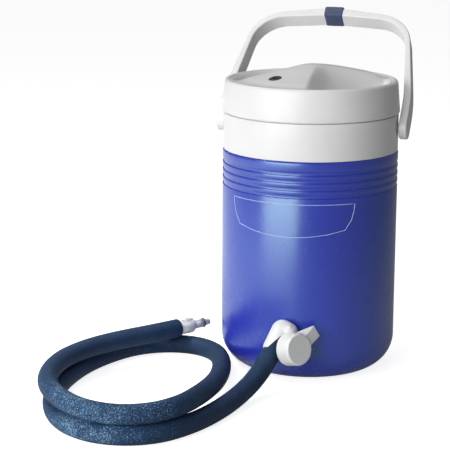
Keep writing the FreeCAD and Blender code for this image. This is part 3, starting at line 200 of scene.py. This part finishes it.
def sizes():
    """The sizes set in the panel"""
    return bpy.context.scene.therapy_jug_sizes


# ------------------------------------------------------------------ materials

class Finish:
    """A node material that is built up step by step."""

    def __init__(self, name):
        self.material = bpy.data.materials.new(name)
        self.material.use_nodes = True
        self.tree = self.material.node_tree
        self.tree.nodes.clear()
        output = self.add("ShaderNodeOutputMaterial")
        self.shader = self.add("ShaderNodeBsdfPrincipled")
        self.join(self.shader.outputs[0], output.inputs["Surface"])
        self.place = self.add("ShaderNodeTexCoord").outputs["Object"]

    def add(self, kind, **values):
        node = self.tree.nodes.new(kind)
        for key, value in values.items():
            setattr(node, key, value)
        return node

    def join(self, start, end):
        self.tree.links.new(start, end)

    def set(self, **values):
        for key, value in values.items():
            self.shader.inputs[key.replace("_", " ")].default_value = value

    def noise(self, scale, detail, rough=0.55, stretch=None):
        place = self.place
        if stretch:
            mapping = self.add("ShaderNodeMapping")
            mapping.inputs["Scale"].default_value = stretch
            self.join(place, mapping.inputs["Vector"])
            place = mapping.outputs[0]
        node = self.add("ShaderNodeTexNoise")
        node.inputs["Scale"].default_value = scale
        node.inputs["Detail"].default_value = detail
        node.inputs["Roughness"].default_value = rough
        self.join(place, node.inputs["Vector"])
        return node.outputs["Fac"]

    def ramp(self, value, stops):
        node = self.add("ShaderNodeValToRGB")
        ramp = node.color_ramp
        while len(ramp.elements) < len(stops):
            ramp.elements.new(0.5)
        for element, (at, tone) in zip(ramp.elements, stops):
            element.position = at
            element.color = (*tone, 1.0)
        self.join(value, node.inputs["Fac"])
        return node.outputs["Color"]

    def span(self, value, low, high, to_low, to_high):
        """Maps a value from one span to another and holds it at both ends."""
        node = self.add("ShaderNodeMapRange")
        for name, number in (("From Min", low), ("From Max", high),
                             ("To Min", to_low), ("To Max", to_high)):
            node.inputs[name].default_value = number
        self.join(value, node.inputs["Value"])
        return node.outputs["Result"]

    def bump(self, value, height, strength):
        """Adds a layer of relief over the layers before it."""
        node = self.add("ShaderNodeBump")
        node.inputs["Distance"].default_value = height
        node.inputs["Strength"].default_value = strength
        self.join(value, node.inputs["Height"])
        if self.shader.inputs["Normal"].is_linked:
            self.join(self.shader.inputs["Normal"].links[0].from_socket, node.inputs["Normal"])
        self.join(node.outputs["Normal"], self.shader.inputs["Normal"])


def shade(base, factor):
    """A colour made darker or lighter."""
    return tuple(min(1.0, part * factor) for part in base)


def moulded(name, base, roughness, grain=0.00006, patch=0.05, wear=0.04, gloss=None):
    """Moulded plastic: fine grain, slow colour drift and uneven sheen. gloss holds the
    refractive index and the tint of a shiny skin."""
    finish = Finish(name)
    if gloss:
        index, tint = gloss
        finish.set(IOR=index, Specular_IOR_Level=1.0, Specular_Tint=(*tint, 1.0))
    drift = finish.noise(14.0, 2.0)
    finish.join(finish.ramp(drift, [(0.3, shade(base, 1 - patch)),
                                    (0.7, shade(base, 1 + patch / 2))]),
                finish.shader.inputs["Base Color"])
    scuff = finish.noise(60.0, 3.0, 0.6)
    finish.join(finish.span(scuff, 0.3, 0.7, roughness - wear, roughness + wear),
                finish.shader.inputs["Roughness"])
    finish.bump(finish.noise(1100.0, 2.0), grain, 0.35)
    return finish.material


def foam_skin(name, base, speckle):
    """Closed-cell foam tube: fine pits, slack ripples and pale flecks, with a painted sheen
    that lifts the flecks on the lit outside of the coil's front and painted shade further off."""
    finish = Finish(name)
    fleck = finish.noise(620.0, 4.0, 0.8)
    cloud = finish.noise(26.0, 3.0, 0.7)
    front = finish.add("ShaderNodeVectorMath", operation="DISTANCE")
    finish.join(finish.place, front.inputs[0])
    front.inputs[1].default_value = PAINTED_SHEEN_SPOT
    # Painted light: paler flecks near the lit spot, painted shade further off, plus random cloud
    painted_sheen = finish.add("ShaderNodeMath", operation="ADD")
    finish.join(finish.span(front.outputs["Value"], PAINTED_SHEEN_NEAR, PAINTED_SHEEN_FAR, 0.06, -0.085),
                painted_sheen.inputs[0])
    finish.join(finish.span(cloud, 0.30, 0.70, -0.06, 0.06), painted_sheen.inputs[1])
    total = finish.add("ShaderNodeMath", operation="ADD")
    finish.join(fleck, total.inputs[0])
    finish.join(painted_sheen.outputs[0], total.inputs[1])
    finish.join(finish.ramp(total.outputs[0], [
        (0.34, shade(base, 0.70)), (0.52, base), (0.60, shade(base, 1.8)), (0.68, speckle)]),
        finish.shader.inputs["Base Color"])
    finish.set(Roughness=0.72, Specular_IOR_Level=0.35)
    finish.bump(finish.noise(55.0, 2.0), 0.0016, 0.5)
    finish.bump(fleck, 0.0006, 0.7)
    return finish.material


def rubber(name, base, roughness):
    """Rubber with a little pale dust."""
    finish = Finish(name)
    dust = finish.noise(160.0, 4.0, 0.7)
    finish.join(finish.ramp(dust, [(0.35, base), (0.8, shade(base, 1.5))]),
                finish.shader.inputs["Base Color"])
    finish.set(Roughness=roughness)
    finish.bump(finish.noise(900.0, 2.0), 0.00008, 0.4)
    return finish.material


def metal(name, base):
    """Metal with fine drawn lines."""
    finish = Finish(name)
    drawn = finish.noise(600.0, 2.0, 0.5, stretch=(1.0, 1.0, 0.05))
    finish.join(finish.ramp(drawn, [(0.3, shade(base, 0.85)), (0.7, base)]),
                finish.shader.inputs["Base Color"])
    finish.set(Metallic=1.0)
    finish.join(finish.span(drawn, 0.3, 0.7, 0.30, 0.45), finish.shader.inputs["Roughness"])
    return finish.material


FINISHES = {}


def finish_of(key):
    """Makes each finish once, when it is first asked for."""
    if key in FINISHES:
        return FINISHES[key]
    tint = colours()
    makers = {
        "white": lambda: moulded("White moulding", tuple(tint.white), 0.36),
        "blue": lambda: moulded("Blue moulding", tuple(tint.blue), 0.26, 0.00002, 0.04, 0.02,
                                (1.58, (0.66, 0.98, 0.86))),
        "foam": lambda: foam_skin("Hose foam", tuple(tint.foam), tuple(tint.speckle)),
        "band": lambda: rubber("Grip rubber", tuple(tint.band), 0.5),
        "fitting": lambda: moulded("Connector plastic", tuple(tint.fitting), 0.42),
        "line": lambda: moulded("Panel line", tuple(tint.line), 0.45),
        "black": lambda: moulded("Black plastic", (0.012, 0.012, 0.014), 0.35, patch=0.2),
        "seal": lambda: rubber("Seal rubber", (0.012, 0.012, 0.012), 0.45),
        "grey seal": lambda: rubber("Grey seal", (0.30, 0.32, 0.33), 0.6),
        "grey": lambda: moulded("Grey plastic", (0.34, 0.36, 0.38), 0.45),
        "steel": lambda: metal("Steel", (0.62, 0.62, 0.63)),
        "board": lambda: moulded("Circuit board", (0.015, 0.13, 0.045), 0.4, patch=0.15),
        "cavity foam": lambda: moulded("Rigid foam", (0.70, 0.62, 0.36), 0.85, 0.0006, 0.12),
        "tank": lambda: moulded("Tank plastic", (0.80, 0.81, 0.82), 0.4),
    }
    FINISHES[key] = makers[key]()
    return FINISHES[key]


# ------------------------------------------------------------------ mesh tools

def as_mesh(name, mesh_data):
    """Turns a bmesh into a mesh."""
    mesh = bpy.data.meshes.new(name)
    mesh_data.to_mesh(mesh)
    mesh_data.free()
    return mesh


def as_object(name, data):
    """Puts a mesh, curve, light or camera into the scene."""
    thing = bpy.data.objects.new(name, data)
    bpy.context.scene.collection.objects.link(thing)
    return thing


def shaped(thing):
    """What an object's modifiers make of its mesh, as a bmesh."""
    shape = thing.evaluated_get(bpy.context.evaluated_depsgraph_get())
    result = bmesh.new()
    result.from_mesh(shape.to_mesh())
    shape.to_mesh_clear()
    return result


def solid_of(node):
    """A CAD node as a bmesh with its corners merged."""
    mesh_data = bmesh.new()
    mesh_data.from_mesh(NODES[node].data)
    bmesh.ops.remove_doubles(mesh_data, verts=mesh_data.verts, dist=0.00001)
    return mesh_data


def settle(name, mesh_data, finish, body, replaces=(), sharp=40.0):
    """Turns a bmesh into a finished piece that rides on a body."""
    bmesh.ops.recalc_face_normals(mesh_data, faces=mesh_data.faces)
    mesh = as_mesh(name, mesh_data)
    mesh.shade_smooth()
    mesh.set_sharp_from_angle(angle=math.radians(sharp))
    mesh.materials.append(finish_of(finish))
    piece = as_object(name, mesh)
    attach(piece, body)
    if replaces:
        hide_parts(*replaces)
    return piece


def refine(node, name, finish, body, sharp=32.0):
    """A merged, smooth-shaded copy of a CAD node that stands for it."""
    mesh_data = solid_of(node)
    bmesh.ops.dissolve_degenerate(mesh_data, edges=mesh_data.edges, dist=0.000001)
    return settle(name, mesh_data, finish, body, (node,), sharp)


def dress(node, finish):
    """Gives a carried-over CAD node its finish."""
    slots = NODES[node].material_slots
    if not slots:
        NODES[node].data.materials.append(finish_of(finish))
    for slot in slots:
        slot.material = finish_of(finish)


def turned(profile, rounds, steps=None):
    """Spins a closed outline of (radius, height) points in mm about the Z axis.
    rounds holds (corner number, distance, segments) for the corners to round."""
    mesh_data = bmesh.new()
    corners = [mesh_data.verts.new((r * MM, 0.0, z * MM)) for r, z in profile]
    for first, second in zip(corners, corners[1:] + corners[:1]):
        mesh_data.edges.new((first, second))
    for number, distance, segments in rounds:
        bmesh.ops.bevel(mesh_data, geom=[corners[number]], offset=distance * MM,
                        segments=segments, affect="VERTICES", profile=0.5, material=-1)
    bmesh.ops.spin(mesh_data, geom=mesh_data.verts[:] + mesh_data.edges[:], cent=(0, 0, 0),
                   axis=(0, 0, 1), angle=math.tau, steps=steps or sizes().steps,
                   use_merge=True, use_duplicate=False)
    bmesh.ops.remove_doubles(mesh_data, verts=mesh_data.verts, dist=0.000002)
    loose = [edge for edge in mesh_data.edges if not edge.link_faces]
    bmesh.ops.delete(mesh_data, geom=loose, context="EDGES")
    return mesh_data


def cylinder(radius, depth, segments):
    """A closed cylinder on the Z axis, sized in mm."""
    mesh_data = bmesh.new()
    bmesh.ops.create_cone(mesh_data, cap_ends=True, segments=segments, radius1=radius * MM,
                          radius2=radius * MM, depth=depth * MM)
    return mesh_data


def block(size, place, soft, segments=3, cuts=0):
    """A box of (x, y, z) size in mm with every edge rounded, set at a place. cuts divides
    it along x, for a box that is bent or tapered later."""
    mesh_data = bmesh.new()
    bmesh.ops.create_cube(mesh_data, size=MM)
    bmesh.ops.scale(mesh_data, vec=size, verts=mesh_data.verts)
    if cuts:
        along = [edge for edge in mesh_data.edges
                 if abs(edge.verts[0].co.x - edge.verts[1].co.x) > 0.5 * size[0] * MM]
        bmesh.ops.subdivide_edges(mesh_data, edges=along, cuts=cuts, use_grid_fill=True)
        creases = [edge for edge in mesh_data.edges
                   if edge.calc_face_angle(0.0) > math.radians(60)]
    else:
        creases = mesh_data.edges[:]
    bmesh.ops.bevel(mesh_data, geom=creases, offset=soft * MM, segments=segments,
                    affect="EDGES", profile=0.5, material=-1)
    bmesh.ops.transform(mesh_data, matrix=place, verts=mesh_data.verts)
    return mesh_data


def remould(node, name, finish, body, voxel, passes, extra):
    """A CAD node with its creases run together as in a moulding; extra solids join it.
    voxel, in mm, sets how fine it is, and passes how often it is smoothed."""
    mesh_data = solid_of(node)
    for solid in extra:
        part = as_mesh("part", solid)
        mesh_data.from_mesh(part)
        bpy.data.meshes.remove(part)
    blank = as_mesh("blank", mesh_data)
    holder = as_object("blank", blank)
    remesh = holder.modifiers.new("Remesh", "REMESH")
    remesh.mode = "VOXEL"
    remesh.voxel_size = voxel * MM
    moulded_data = shaped(holder)
    bpy.data.objects.remove(holder)
    bpy.data.meshes.remove(blank)
    for _ in range(passes):
        bmesh.ops.smooth_vert(moulded_data, verts=moulded_data.verts, factor=0.5,
                              use_axis_x=True, use_axis_y=True, use_axis_z=True)
    return settle(name, moulded_data, finish, body, (node,), 180.0)


def carve(piece, *cutters):
    """Cuts closed solids out of a finished piece."""
    for cutter in cutters:
        bmesh.ops.recalc_face_normals(cutter, faces=cutter.faces)
        mesh = as_mesh("cutter", cutter)
        tool = as_object("cutter", mesh)
        boolean = piece.modifiers.new("Cut", "BOOLEAN")
        boolean.operation = "DIFFERENCE"
        boolean.solver = "EXACT"
        boolean.object = tool
        result = shaped(piece)
        piece.modifiers.clear()
        result.to_mesh(piece.data)
        result.free()
        bpy.data.objects.remove(tool)
        bpy.data.meshes.remove(mesh)
    piece.data.set_sharp_from_angle(angle=math.radians(40))


def tube(name, places, radius, facets, kind, finish):
    """A round tube along places in mm. Returns its object and its line."""
    curve = bpy.data.curves.new(name, "CURVE")
    curve.dimensions = "3D"
    curve.bevel_depth = radius
    curve.bevel_resolution = facets
    curve.materials.append(finish_of(finish))
    line = curve.splines.new(kind)
    line.points.add(len(places) - 1)
    for point, (x, y, z) in zip(line.points, places):
        point.co = (x * MM, y * MM, z * MM, 1.0)
    return as_object(name, curve), line


def even_shading(piece):
    """Keeps broad flat faces flat beside their rounded edges."""
    even = piece.modifiers.new("Even shading", "WEIGHTED_NORMAL")
    even.keep_sharp = True
    even.weight = 60


# ------------------------------------------------------------------ stage

class TherapyJugStage(bpy.types.Operator):
    """Adds the camera, the floor, the backdrop and the soft lights"""

    bl_idname = "therapy_jug.stage"
    bl_label = "Stage"

    def execute(self, context):
        context.scene.view_settings.view_transform = "Standard"
        self.camera(context.scene)
        floor_mesh = bmesh.new()
        bmesh.ops.create_grid(floor_mesh, x_segments=1, y_segments=1, size=FLOOR_REACH)
        floor = as_object("floor", as_mesh("floor", floor_mesh))
        floor.data.materials.append(self.floor_finish())
        self.backdrop(context.scene)
        self.lights()
        return {"FINISHED"}

    @staticmethod
    def camera(scene):
        """Long lens, a little above the lid's height"""
        camera = as_object("Camera", bpy.data.cameras.new("Camera"))
        camera.data.sensor_width = SENSOR
        camera.data.lens = LENS
        back = CAMERA_RIGHT.cross(CAMERA_UP)
        turn = Matrix((CAMERA_RIGHT, CAMERA_UP, back)).transposed().to_4x4()
        camera.matrix_world = Matrix.Translation(CAMERA_PLACE) @ turn
        scene.camera = camera

    @staticmethod
    def lights():
        """Soft rectangles of light"""
        for name, place, aim, size, power, spread in LIGHTS:
            lamp = bpy.data.lights.new(name, "AREA")
            lamp.shape = "RECTANGLE"
            lamp.size, lamp.size_y = size
            lamp.energy = power
            lamp.spread = math.radians(spread)
            light = as_object(name, lamp)
            light.location = place
            light.rotation_mode = "QUATERNION"
            light.rotation_quaternion = (Vector(aim) - Vector(place)).to_track_quat("-Z", "Y")

    @staticmethod
    def level(tree, plain, **extra):
        """A plain level, plus an extra share for each kind of ray that is named. A share
        is a number or the output of a node."""
        path = tree.nodes.new("ShaderNodeLightPath")
        total = tree.nodes.new("ShaderNodeValue").outputs[0]
        total.default_value = plain
        for ray, share in extra.items():
            more = tree.nodes.new("ShaderNodeMath")
            more.operation = "MULTIPLY_ADD"
            tree.links.new(path.outputs[f"Is {ray} Ray"], more.inputs[0])
            if isinstance(share, float):
                more.inputs[1].default_value = share
            else:
                tree.links.new(share, more.inputs[1])
            tree.links.new(total, more.inputs[2])
            total = more.outputs[0]
        return total

    def floor_finish(self):
        """Pale paper that looks as bright as the backdrop and keeps the jug's shadow"""
        finish = Finish("Pale floor")
        finish.set(Base_Color=(FLOOR_PAINT, FLOOR_PAINT, FLOOR_PAINT, 1.0), Roughness=0.9,
                   Emission_Color=(1, 1, 1, 1))
        finish.bump(finish.noise(40.0, 2.0), 0.0005, 0.1)
        apart = finish.add("ShaderNodeSeparateXYZ")
        finish.join(finish.place, apart.inputs[0])
        # Painted reflection: only glossy rays see the floor glow, bright at one x and dim at the
        # other
        sheen = finish.span(apart.outputs["X"], SHEEN_FROM, SHEEN_TO, SHEEN_BRIGHT, SHEEN_DIM)
        finish.join(self.level(finish.tree, 0.0, Camera=FLOOR_SEEN, Glossy=sheen,
                               Transmission=FLOOR_SEEN),
                    finish.shader.inputs["Emission Strength"])
        return finish.material

    def backdrop(self, scene):
        """Even surroundings that look brighter than the light they shed"""
        world = bpy.data.worlds.new("Studio")
        scene.world = world
        world.use_nodes = True
        tree = world.node_tree
        tree.nodes.clear()
        output = tree.nodes.new("ShaderNodeOutputWorld")
        plain = tree.nodes.new("ShaderNodeBackground")
        plain.inputs["Color"].default_value = (1, 1, 1, 1)
        tree.links.new(self.level(tree, BACKDROP_LIGHT, Camera=BACKDROP_SEEN,
                                  Glossy=BACKDROP_SHEEN, Transmission=BACKDROP_SEEN),
                       plain.inputs["Strength"])
        tree.links.new(plain.outputs[0], output.inputs["Surface"])


# ------------------------------------------------------------------ pieces

class TherapyJugConnector(bpy.types.Operator):
    """Adds the quick connector on the hose's end"""

    bl_idname = "therapy_jug.connector"
    bl_label = "Quick connector"

    def execute(self, context):
        refine("coupling_collar", "connector_collar", "fitting", "jug")
        refine("coupling_insert", "connector_insert", "fitting", "jug")
        refine("coupling_oring", "connector_seal", "seal", "jug")
        refine("latch_button", "connector_button", "fitting", "latch")
        return {"FINISHED"}


class TherapyJugHose(bpy.types.Operator):
    """Adds the foam-covered hose"""

    bl_idname = "therapy_jug.hose"
    bl_label = "Hose"

    def execute(self, context):
        hose, line = tube("hose", HOSE_ROUTE, sizes().hose / 2, 10, "NURBS", "foam")
        hose.data.use_fill_caps = True
        line.order_u = 3
        line.use_endpoint_u = True
        line.resolution_u = 12
        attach(hose, "jug")
        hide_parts("hose_sleeve", "hose_tube")
        return {"FINISHED"}


class TherapyJugInside(bpy.types.Operator):
    """Finishes the pieces that only show when the lid is off or the parts are open"""

    bl_idname = "therapy_jug.inside"
    bl_label = "Inner pieces"

    def execute(self, context):
        for node, finish in (
                ("foam_insulation", "cavity foam"), ("inner_liner", "tank"), ("fill_plug", "grey"),
                ("handle_pivot", "white"), ("lid_floor", "tank"), ("lid_gasket", "grey seal"),
                ("lid_screws", "steel"), ("pump_housing", "black"), ("pump_cover", "steel"),
                ("pump_rotor", "steel"), ("pump_motor", "steel"), ("check_valve", "grey seal"),
                ("vent_coil", "black"), ("vent_plunger", "steel"), ("circuit_board", "board"),
                ("tap_washer_outer", "seal"), ("tap_washer_inner", "seal"), ("tap_nut", "white"),
                ("tap_plug", "grey"), ("tap_oring", "seal"), ("tap_gland_ring", "white")):
            dress(node, finish)
        return {"FINISHED"}


class TherapyJugBody(bpy.types.Operator):
    """Adds the blue wall with its grooves, tap seat and panel line, and the collar"""

    bl_idname = "therapy_jug.body"
    bl_label = "Jug and collar"

    def execute(self, context):
        # The wall's outline runs from under the base up the outside and down inside
        outline = [(8.0, 4.0), (52.0, 4.0), (56.0, 0.0), (WALL, 0.0)]
        rounds = [(1, 1.5, 3), (2, 1.5, 3), (3, 36.9, 28)]
        for row in range(GROOVES):
            low = GROOVE_LOWEST + GROOVE_STEP * row
            high = low + GROOVE_HEIGHT
            rounds += [(len(outline) + step, GROOVE_ROUND, 3) for step in range(4)]
            outline += [(WALL, low - GROOVE_SLOPE), (GROOVE_FLOOR, low),
                        (GROOVE_FLOOR, high), (WALL, high + GROOVE_SLOPE)]
        rounds += [(len(outline), 2.8, 6)]
        outline += [(WALL, WALL_TOP), (92.0, WALL_TOP), (92.0, 250.7), (WALL_INSIDE, 250.7),
                    (WALL_INSIDE, 37.0), (86.6, 10.6), (60.5, 2.9), (56.0, 2.9), (53.0, 6.5),
                    (8.0, 6.5)]
        settle("jug_wall", turned(outline, rounds, sizes().steps + WALL_STEPS), "blue", "jug",
               ("outer_shell",), 50.0)
        self.seat()
        self.panel_line()
        settle("collar", turned([
            (99.5, 253.3), (99.5, 294.6), (84.0, 294.6), (84.0, 255.8), (86.5, 255.8),
            (86.5, 291.6), (96.5, 291.6), (96.5, 253.3)], [(0, 0.5, 3), (1, 0.9, 5)]),
            "white", "jug", ("neck_collar",))
        return {"FINISHED"}

    @staticmethod
    def seat():
        """Flat boss that the tap's washer seals on"""
        disc = cylinder(SEAT_RADIUS, SEAT_DEPTH, 96)
        rim = [edge for edge in disc.edges if edge.verts[0].co.z > 0 and edge.verts[1].co.z > 0
               and len(edge.link_faces) == 2]
        bmesh.ops.bevel(disc, geom=rim, offset=0.7 * MM, segments=3, affect="EDGES",
                        profile=0.5, material=-1)
        place = Matrix.Translation(Vector(SEAT_PLACE) * MM) @ Matrix.Rotation(
            math.radians(90), 4, "X")
        bmesh.ops.transform(disc, matrix=place, verts=disc.verts)
        settle("tap_seat", disc, "blue", "jug")

    @staticmethod
    def panel_line():
        """Thin raised line round the front panel, wrapped on the wall"""
        places = []
        corners = PANEL_LINE + PANEL_LINE[:1]
        for (x0, z0), (x1, z1) in zip(corners, corners[1:]):
            for step in range(PANEL_LINE_STEPS):
                share = step / PANEL_LINE_STEPS
                x = x0 + (x1 - x0) * share
                places.append((x, -math.sqrt(WALL ** 2 - x ** 2), z0 + (z1 - z0) * share))
        trim, line = tube("panel_line", places, PANEL_LINE_RADIUS * MM, 2, "POLY", "line")
        line.use_cyclic_u = True
        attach(trim, "jug")


class TherapyJugLid(bpy.types.Operator):
    """Adds the lid with its finger scoops, guide marks and power socket"""

    bl_idname = "therapy_jug.lid"
    bl_label = "Lid"

    @staticmethod
    def ease(value):
        """Goes softly from 0 to 1 while the value does."""
        value = min(1.0, max(0.0, value))
        return value * value * (3.0 - 2.0 * value)

    def top(self, x, y):
        """Height of the lid's top at a place inside its rim, in mm."""
        reach = math.hypot(x, y)
        along = x * math.sin(BAR_TURN) + y * math.cos(BAR_TURN)
        across = abs(x * math.cos(BAR_TURN) - y * math.sin(BAR_TURN) - 2.0)
        # The dome falls off from its crest, rounder at the back, and runs out into the brim
        fullness = 12.0 + 18.0 * self.ease((along + 20.0) / 60.0)
        dome = CREST - 0.235 * (math.hypot(reach, fullness) - fullness)
        brim = self.ease((reach - 72.0) / 16.0)
        dome = dome * (1.0 - brim) + BRIM * brim
        # Each scoop begins at the bar's waist and ends at its round outer edge
        waist = math.hypot(10.0, 0.73 * along)
        flank = 14.0 + 18.0 / (1.0 + (along / 30.0) ** 2)
        hollow = self.ease((across - waist) / flank) * self.ease((SCOOP_EDGE - reach) / 9.0)
        return dome * (1.0 - hollow) + SCOOP_FLOOR * hollow

    def execute(self, context):
        # The crown is turned flat, and top() then lifts and hollows it
        crown = [(radius, BRIM) for radius in range(84, 2, -3)]
        outline = [
            (100.9, LID_EDGE), (98.0, 332.0), (92.8, 332.0), (91.4, 330.2), (88.6, 330.7),
            (86.4, 331.2), *crown, (0.0, BRIM), (0.0, 343.0), (16.0, 343.0),
            (16.0, LID_UNDERSIDE), (97.9, LID_UNDERSIDE), (97.9, LID_EDGE)]
        rounds = [(0, 1.0, 5), (1, 3.4, 7), (2, 0.6, 3), (3, 0.7, 3)]
        shell = turned(outline, rounds, 224)
        for vertex in shell.verts:
            x, y, z = vertex.co / MM
            if BRIM - 1.0 < z < BRIM + 0.5 and math.hypot(x, y) < SCOOP_EDGE + 0.5:
                vertex.co.z = self.top(x, y) * MM
        lid = settle("lid", shell, "white", "lid", ("lid_shell",))
        carve(lid, self.socket_way(), *(self.mark(*numbers) for numbers in MARKS))
        self.socket()
        return {"FINISHED"}

    @staticmethod
    def socket_place():
        """Where the power socket's mouth sits, turned square to the bar's slope."""
        forward = Vector((-math.sin(BAR_TURN), -math.cos(BAR_TURN), 0.0))
        spot = forward * SOCKET_REACH + Vector((0, 0, SOCKET_HEIGHT))
        lean = (forward * SOCKET_LEAN + Vector((0, 0, 1))).normalized()
        turn = lean.to_track_quat("Z", "X").to_matrix().to_4x4()
        return Matrix.Translation(spot * MM) @ turn

    def socket_way(self):
        """Cutter for the hole that the socket sits in."""
        way = cylinder(7.5, 60, 64)
        bmesh.ops.transform(way, matrix=self.socket_place(), verts=way.verts)
        return way

    def mark(self, x, y, turn, length):
        """Cutter for one small guide mark beside the rim, 1 mm deep."""
        place = Matrix.Translation(Vector((x, y, self.top(x, y) + 4.0)) * MM) @ Matrix.Rotation(
            math.radians(turn), 4, "Z")
        return block((length, 1.5, 10.0), place, 0.6)

    def socket(self):
        """Round jack: a soft-edged face, its bore and the pin inside"""
        outline = [
            (3.0, -9.0), (3.0, 0.1), (3.9, 0.5), (6.3, 0.5), (7.3, -0.4), (7.3, -15.5),
            (5.0, -15.5), (5.0, -13.0), (1.0, -13.0), (1.0, -1.5), (0.4, -0.9), (0.0, -0.9),
            (0.0, -14.0), (6.0, -14.0), (6.0, -9.0)]
        rounds = [(1, 0.3, 2), (2, 0.3, 2), (3, 0.4, 3), (4, 0.4, 3)]
        jack = turned(outline, rounds, 64)
        bmesh.ops.transform(jack, matrix=self.socket_place(), verts=jack.verts)
        settle("lid_socket", jack, "black", "lid", ("power_socket",))


class TherapyJugHandle(bpy.types.Operator):
    """Adds the bail handle and the band round its middle"""

    bl_idname = "therapy_jug.handle"
    bl_label = "Handle"

    def execute(self, context):
        handle = refine("bail_handle", "handle", "white", "bail", 50.0)
        even_shading(handle)
        lean = Matrix.Translation(PIVOT * MM) @ Matrix.Rotation(-LEAN, 4, "X")
        band = block(BAND_SIZE, lean @ Matrix.Translation((0, 0, GRIP_HEIGHT * MM)), 1.8, 4, 7)
        middle = lean @ Vector((0, 0, GRIP_HEIGHT * MM))
        across = lean.to_3x3() @ Vector((1, 0, 0))
        # A slight belly, fullest halfway along the band
        for vertex in band.verts:
            out = (vertex.co - middle).dot(across)
            core = middle + across * out
            share = out / (BAND_SIZE[0] / 2 * MM)
            vertex.co = core + (vertex.co - core) * (0.972 + 0.02 * (1.0 - share * share))
        settle("handle_band", band, "band", "bail", ("grip_band",))
        return {"FINISHED"}


class TherapyJugTap(bpy.types.Operator):
    """Adds the tap's elbow and its cap with the wing lever"""

    bl_idname = "therapy_jug.tap"
    bl_label = "Tap"

    def execute(self, context):
        start, ahead = Vector(HOSE_ROUTE[0]), Vector(HOSE_ROUTE[1])
        reach = (ahead - start).normalized()
        hood = [self.ball(KNUCKLE.lerp(SHOULDER, share), 12.6 - 2.2 * share)
                for share in (0.2, 0.4, 0.6, 0.8, 1.0)]
        hood += [self.ball(start + reach * far, HOOD_RADIUS)
                 for far in (-4.0, 0.0, 4.0, 8.0, 12.0)]
        hood += [self.ball(NUB, 1.7, (1.5, 1.2, 0.8))]
        elbow = remould("tap_body", "tap_elbow", "white", "jug", 0.7, 4, hood)
        carve(elbow, self.mouth())
        remould("tap_knob", "tap_cap", "white", "valve", 0.55, 3,
                [self.wing()])
        return {"FINISHED"}

    @staticmethod
    def ball(place, radius, stretch=(1, 1, 1)):
        """A round swelling that the elbow's moulding takes in"""
        ball = bmesh.new()
        bmesh.ops.create_uvsphere(ball, u_segments=40, v_segments=20, radius=radius * MM)
        bmesh.ops.scale(ball, vec=stretch, verts=ball.verts)
        bmesh.ops.translate(ball, vec=Vector(place) * MM, verts=ball.verts)
        return ball

    @staticmethod
    def mouth():
        """Cutter that slants the elbow's mouth, so that its hood reaches down on the left"""
        edge = MOUTH_HIGH - MOUTH_LOW
        along = edge.normalized()
        down = MOUTH_THROUGH.cross(along).normalized()
        through = along.cross(down)
        turn = Matrix((along, down, through)).transposed().to_4x4()
        size = (edge.length + 6.0, 24.0, 44.0)
        middle = (MOUTH_LOW + MOUTH_HIGH) / 2 + down * (size[1] / 2) - along * 3.0
        return block(size, Matrix.Translation(middle * MM) @ turn, 0.2, 1)

    @staticmethod
    def wing():
        """Raised back of the lever, which runs out to its tip"""
        level = Vector((math.cos(WING_LEVEL), math.sin(WING_LEVEL), 0))
        along = level * math.cos(WING_SWING) + CAP_FACING.cross(level) * math.sin(WING_SWING)
        upward = CAP_FACING.cross(along)
        root = CAP_ROOT + CAP_FACING * CAP_FACE
        wing = bmesh.new()
        for x, y, z in WING_CORNERS:
            wing.verts.new((root + along * x + upward * y + CAP_FACING * z) * MM)
        bmesh.ops.convex_hull(wing, input=wing.verts)
        return wing


class TherapyJugPanel(bpy.types.Panel):
    """Lists the jug's pieces in the sidebar"""

    bl_idname = "VIEW3D_PT_therapy_jug"
    bl_label = "Therapy jug"
    bl_space_type = "VIEW_3D"
    bl_region_type = "UI"
    bl_category = "Therapy jug"

    def draw(self, context):
        for group in (context.scene.therapy_jug_colours, context.scene.therapy_jug_sizes):
            for name in group.__annotations__:
                self.layout.prop(group, name)
        for operator in OPERATORS:
            self.layout.operator(operator.bl_idname)


OPERATORS = (
    TherapyJugStage,
    TherapyJugConnector,
    TherapyJugHose,
    TherapyJugBody,
    TherapyJugLid,
    TherapyJugHandle,
    TherapyJugTap,
    TherapyJugInside,
)
CLASSES = (TherapyJugColours, TherapyJugSizes, *OPERATORS, TherapyJugPanel)


def register():
    for item in CLASSES:
        bpy.utils.register_class(item)
    bpy.types.Scene.therapy_jug_colours = PointerProperty(type=TherapyJugColours)
    bpy.types.Scene.therapy_jug_sizes = PointerProperty(type=TherapyJugSizes)


def unregister():
    del bpy.types.Scene.therapy_jug_sizes
    del bpy.types.Scene.therapy_jug_colours
    for item in reversed(CLASSES):
        bpy.utils.unregister_class(item)


def main():
    register()
    for operator in OPERATORS:
        group, name = operator.bl_idname.split(".")
        getattr(getattr(bpy.ops, group), name)()
    bpy.context.view_layer.update()


if __name__ == "__main__":
    main()
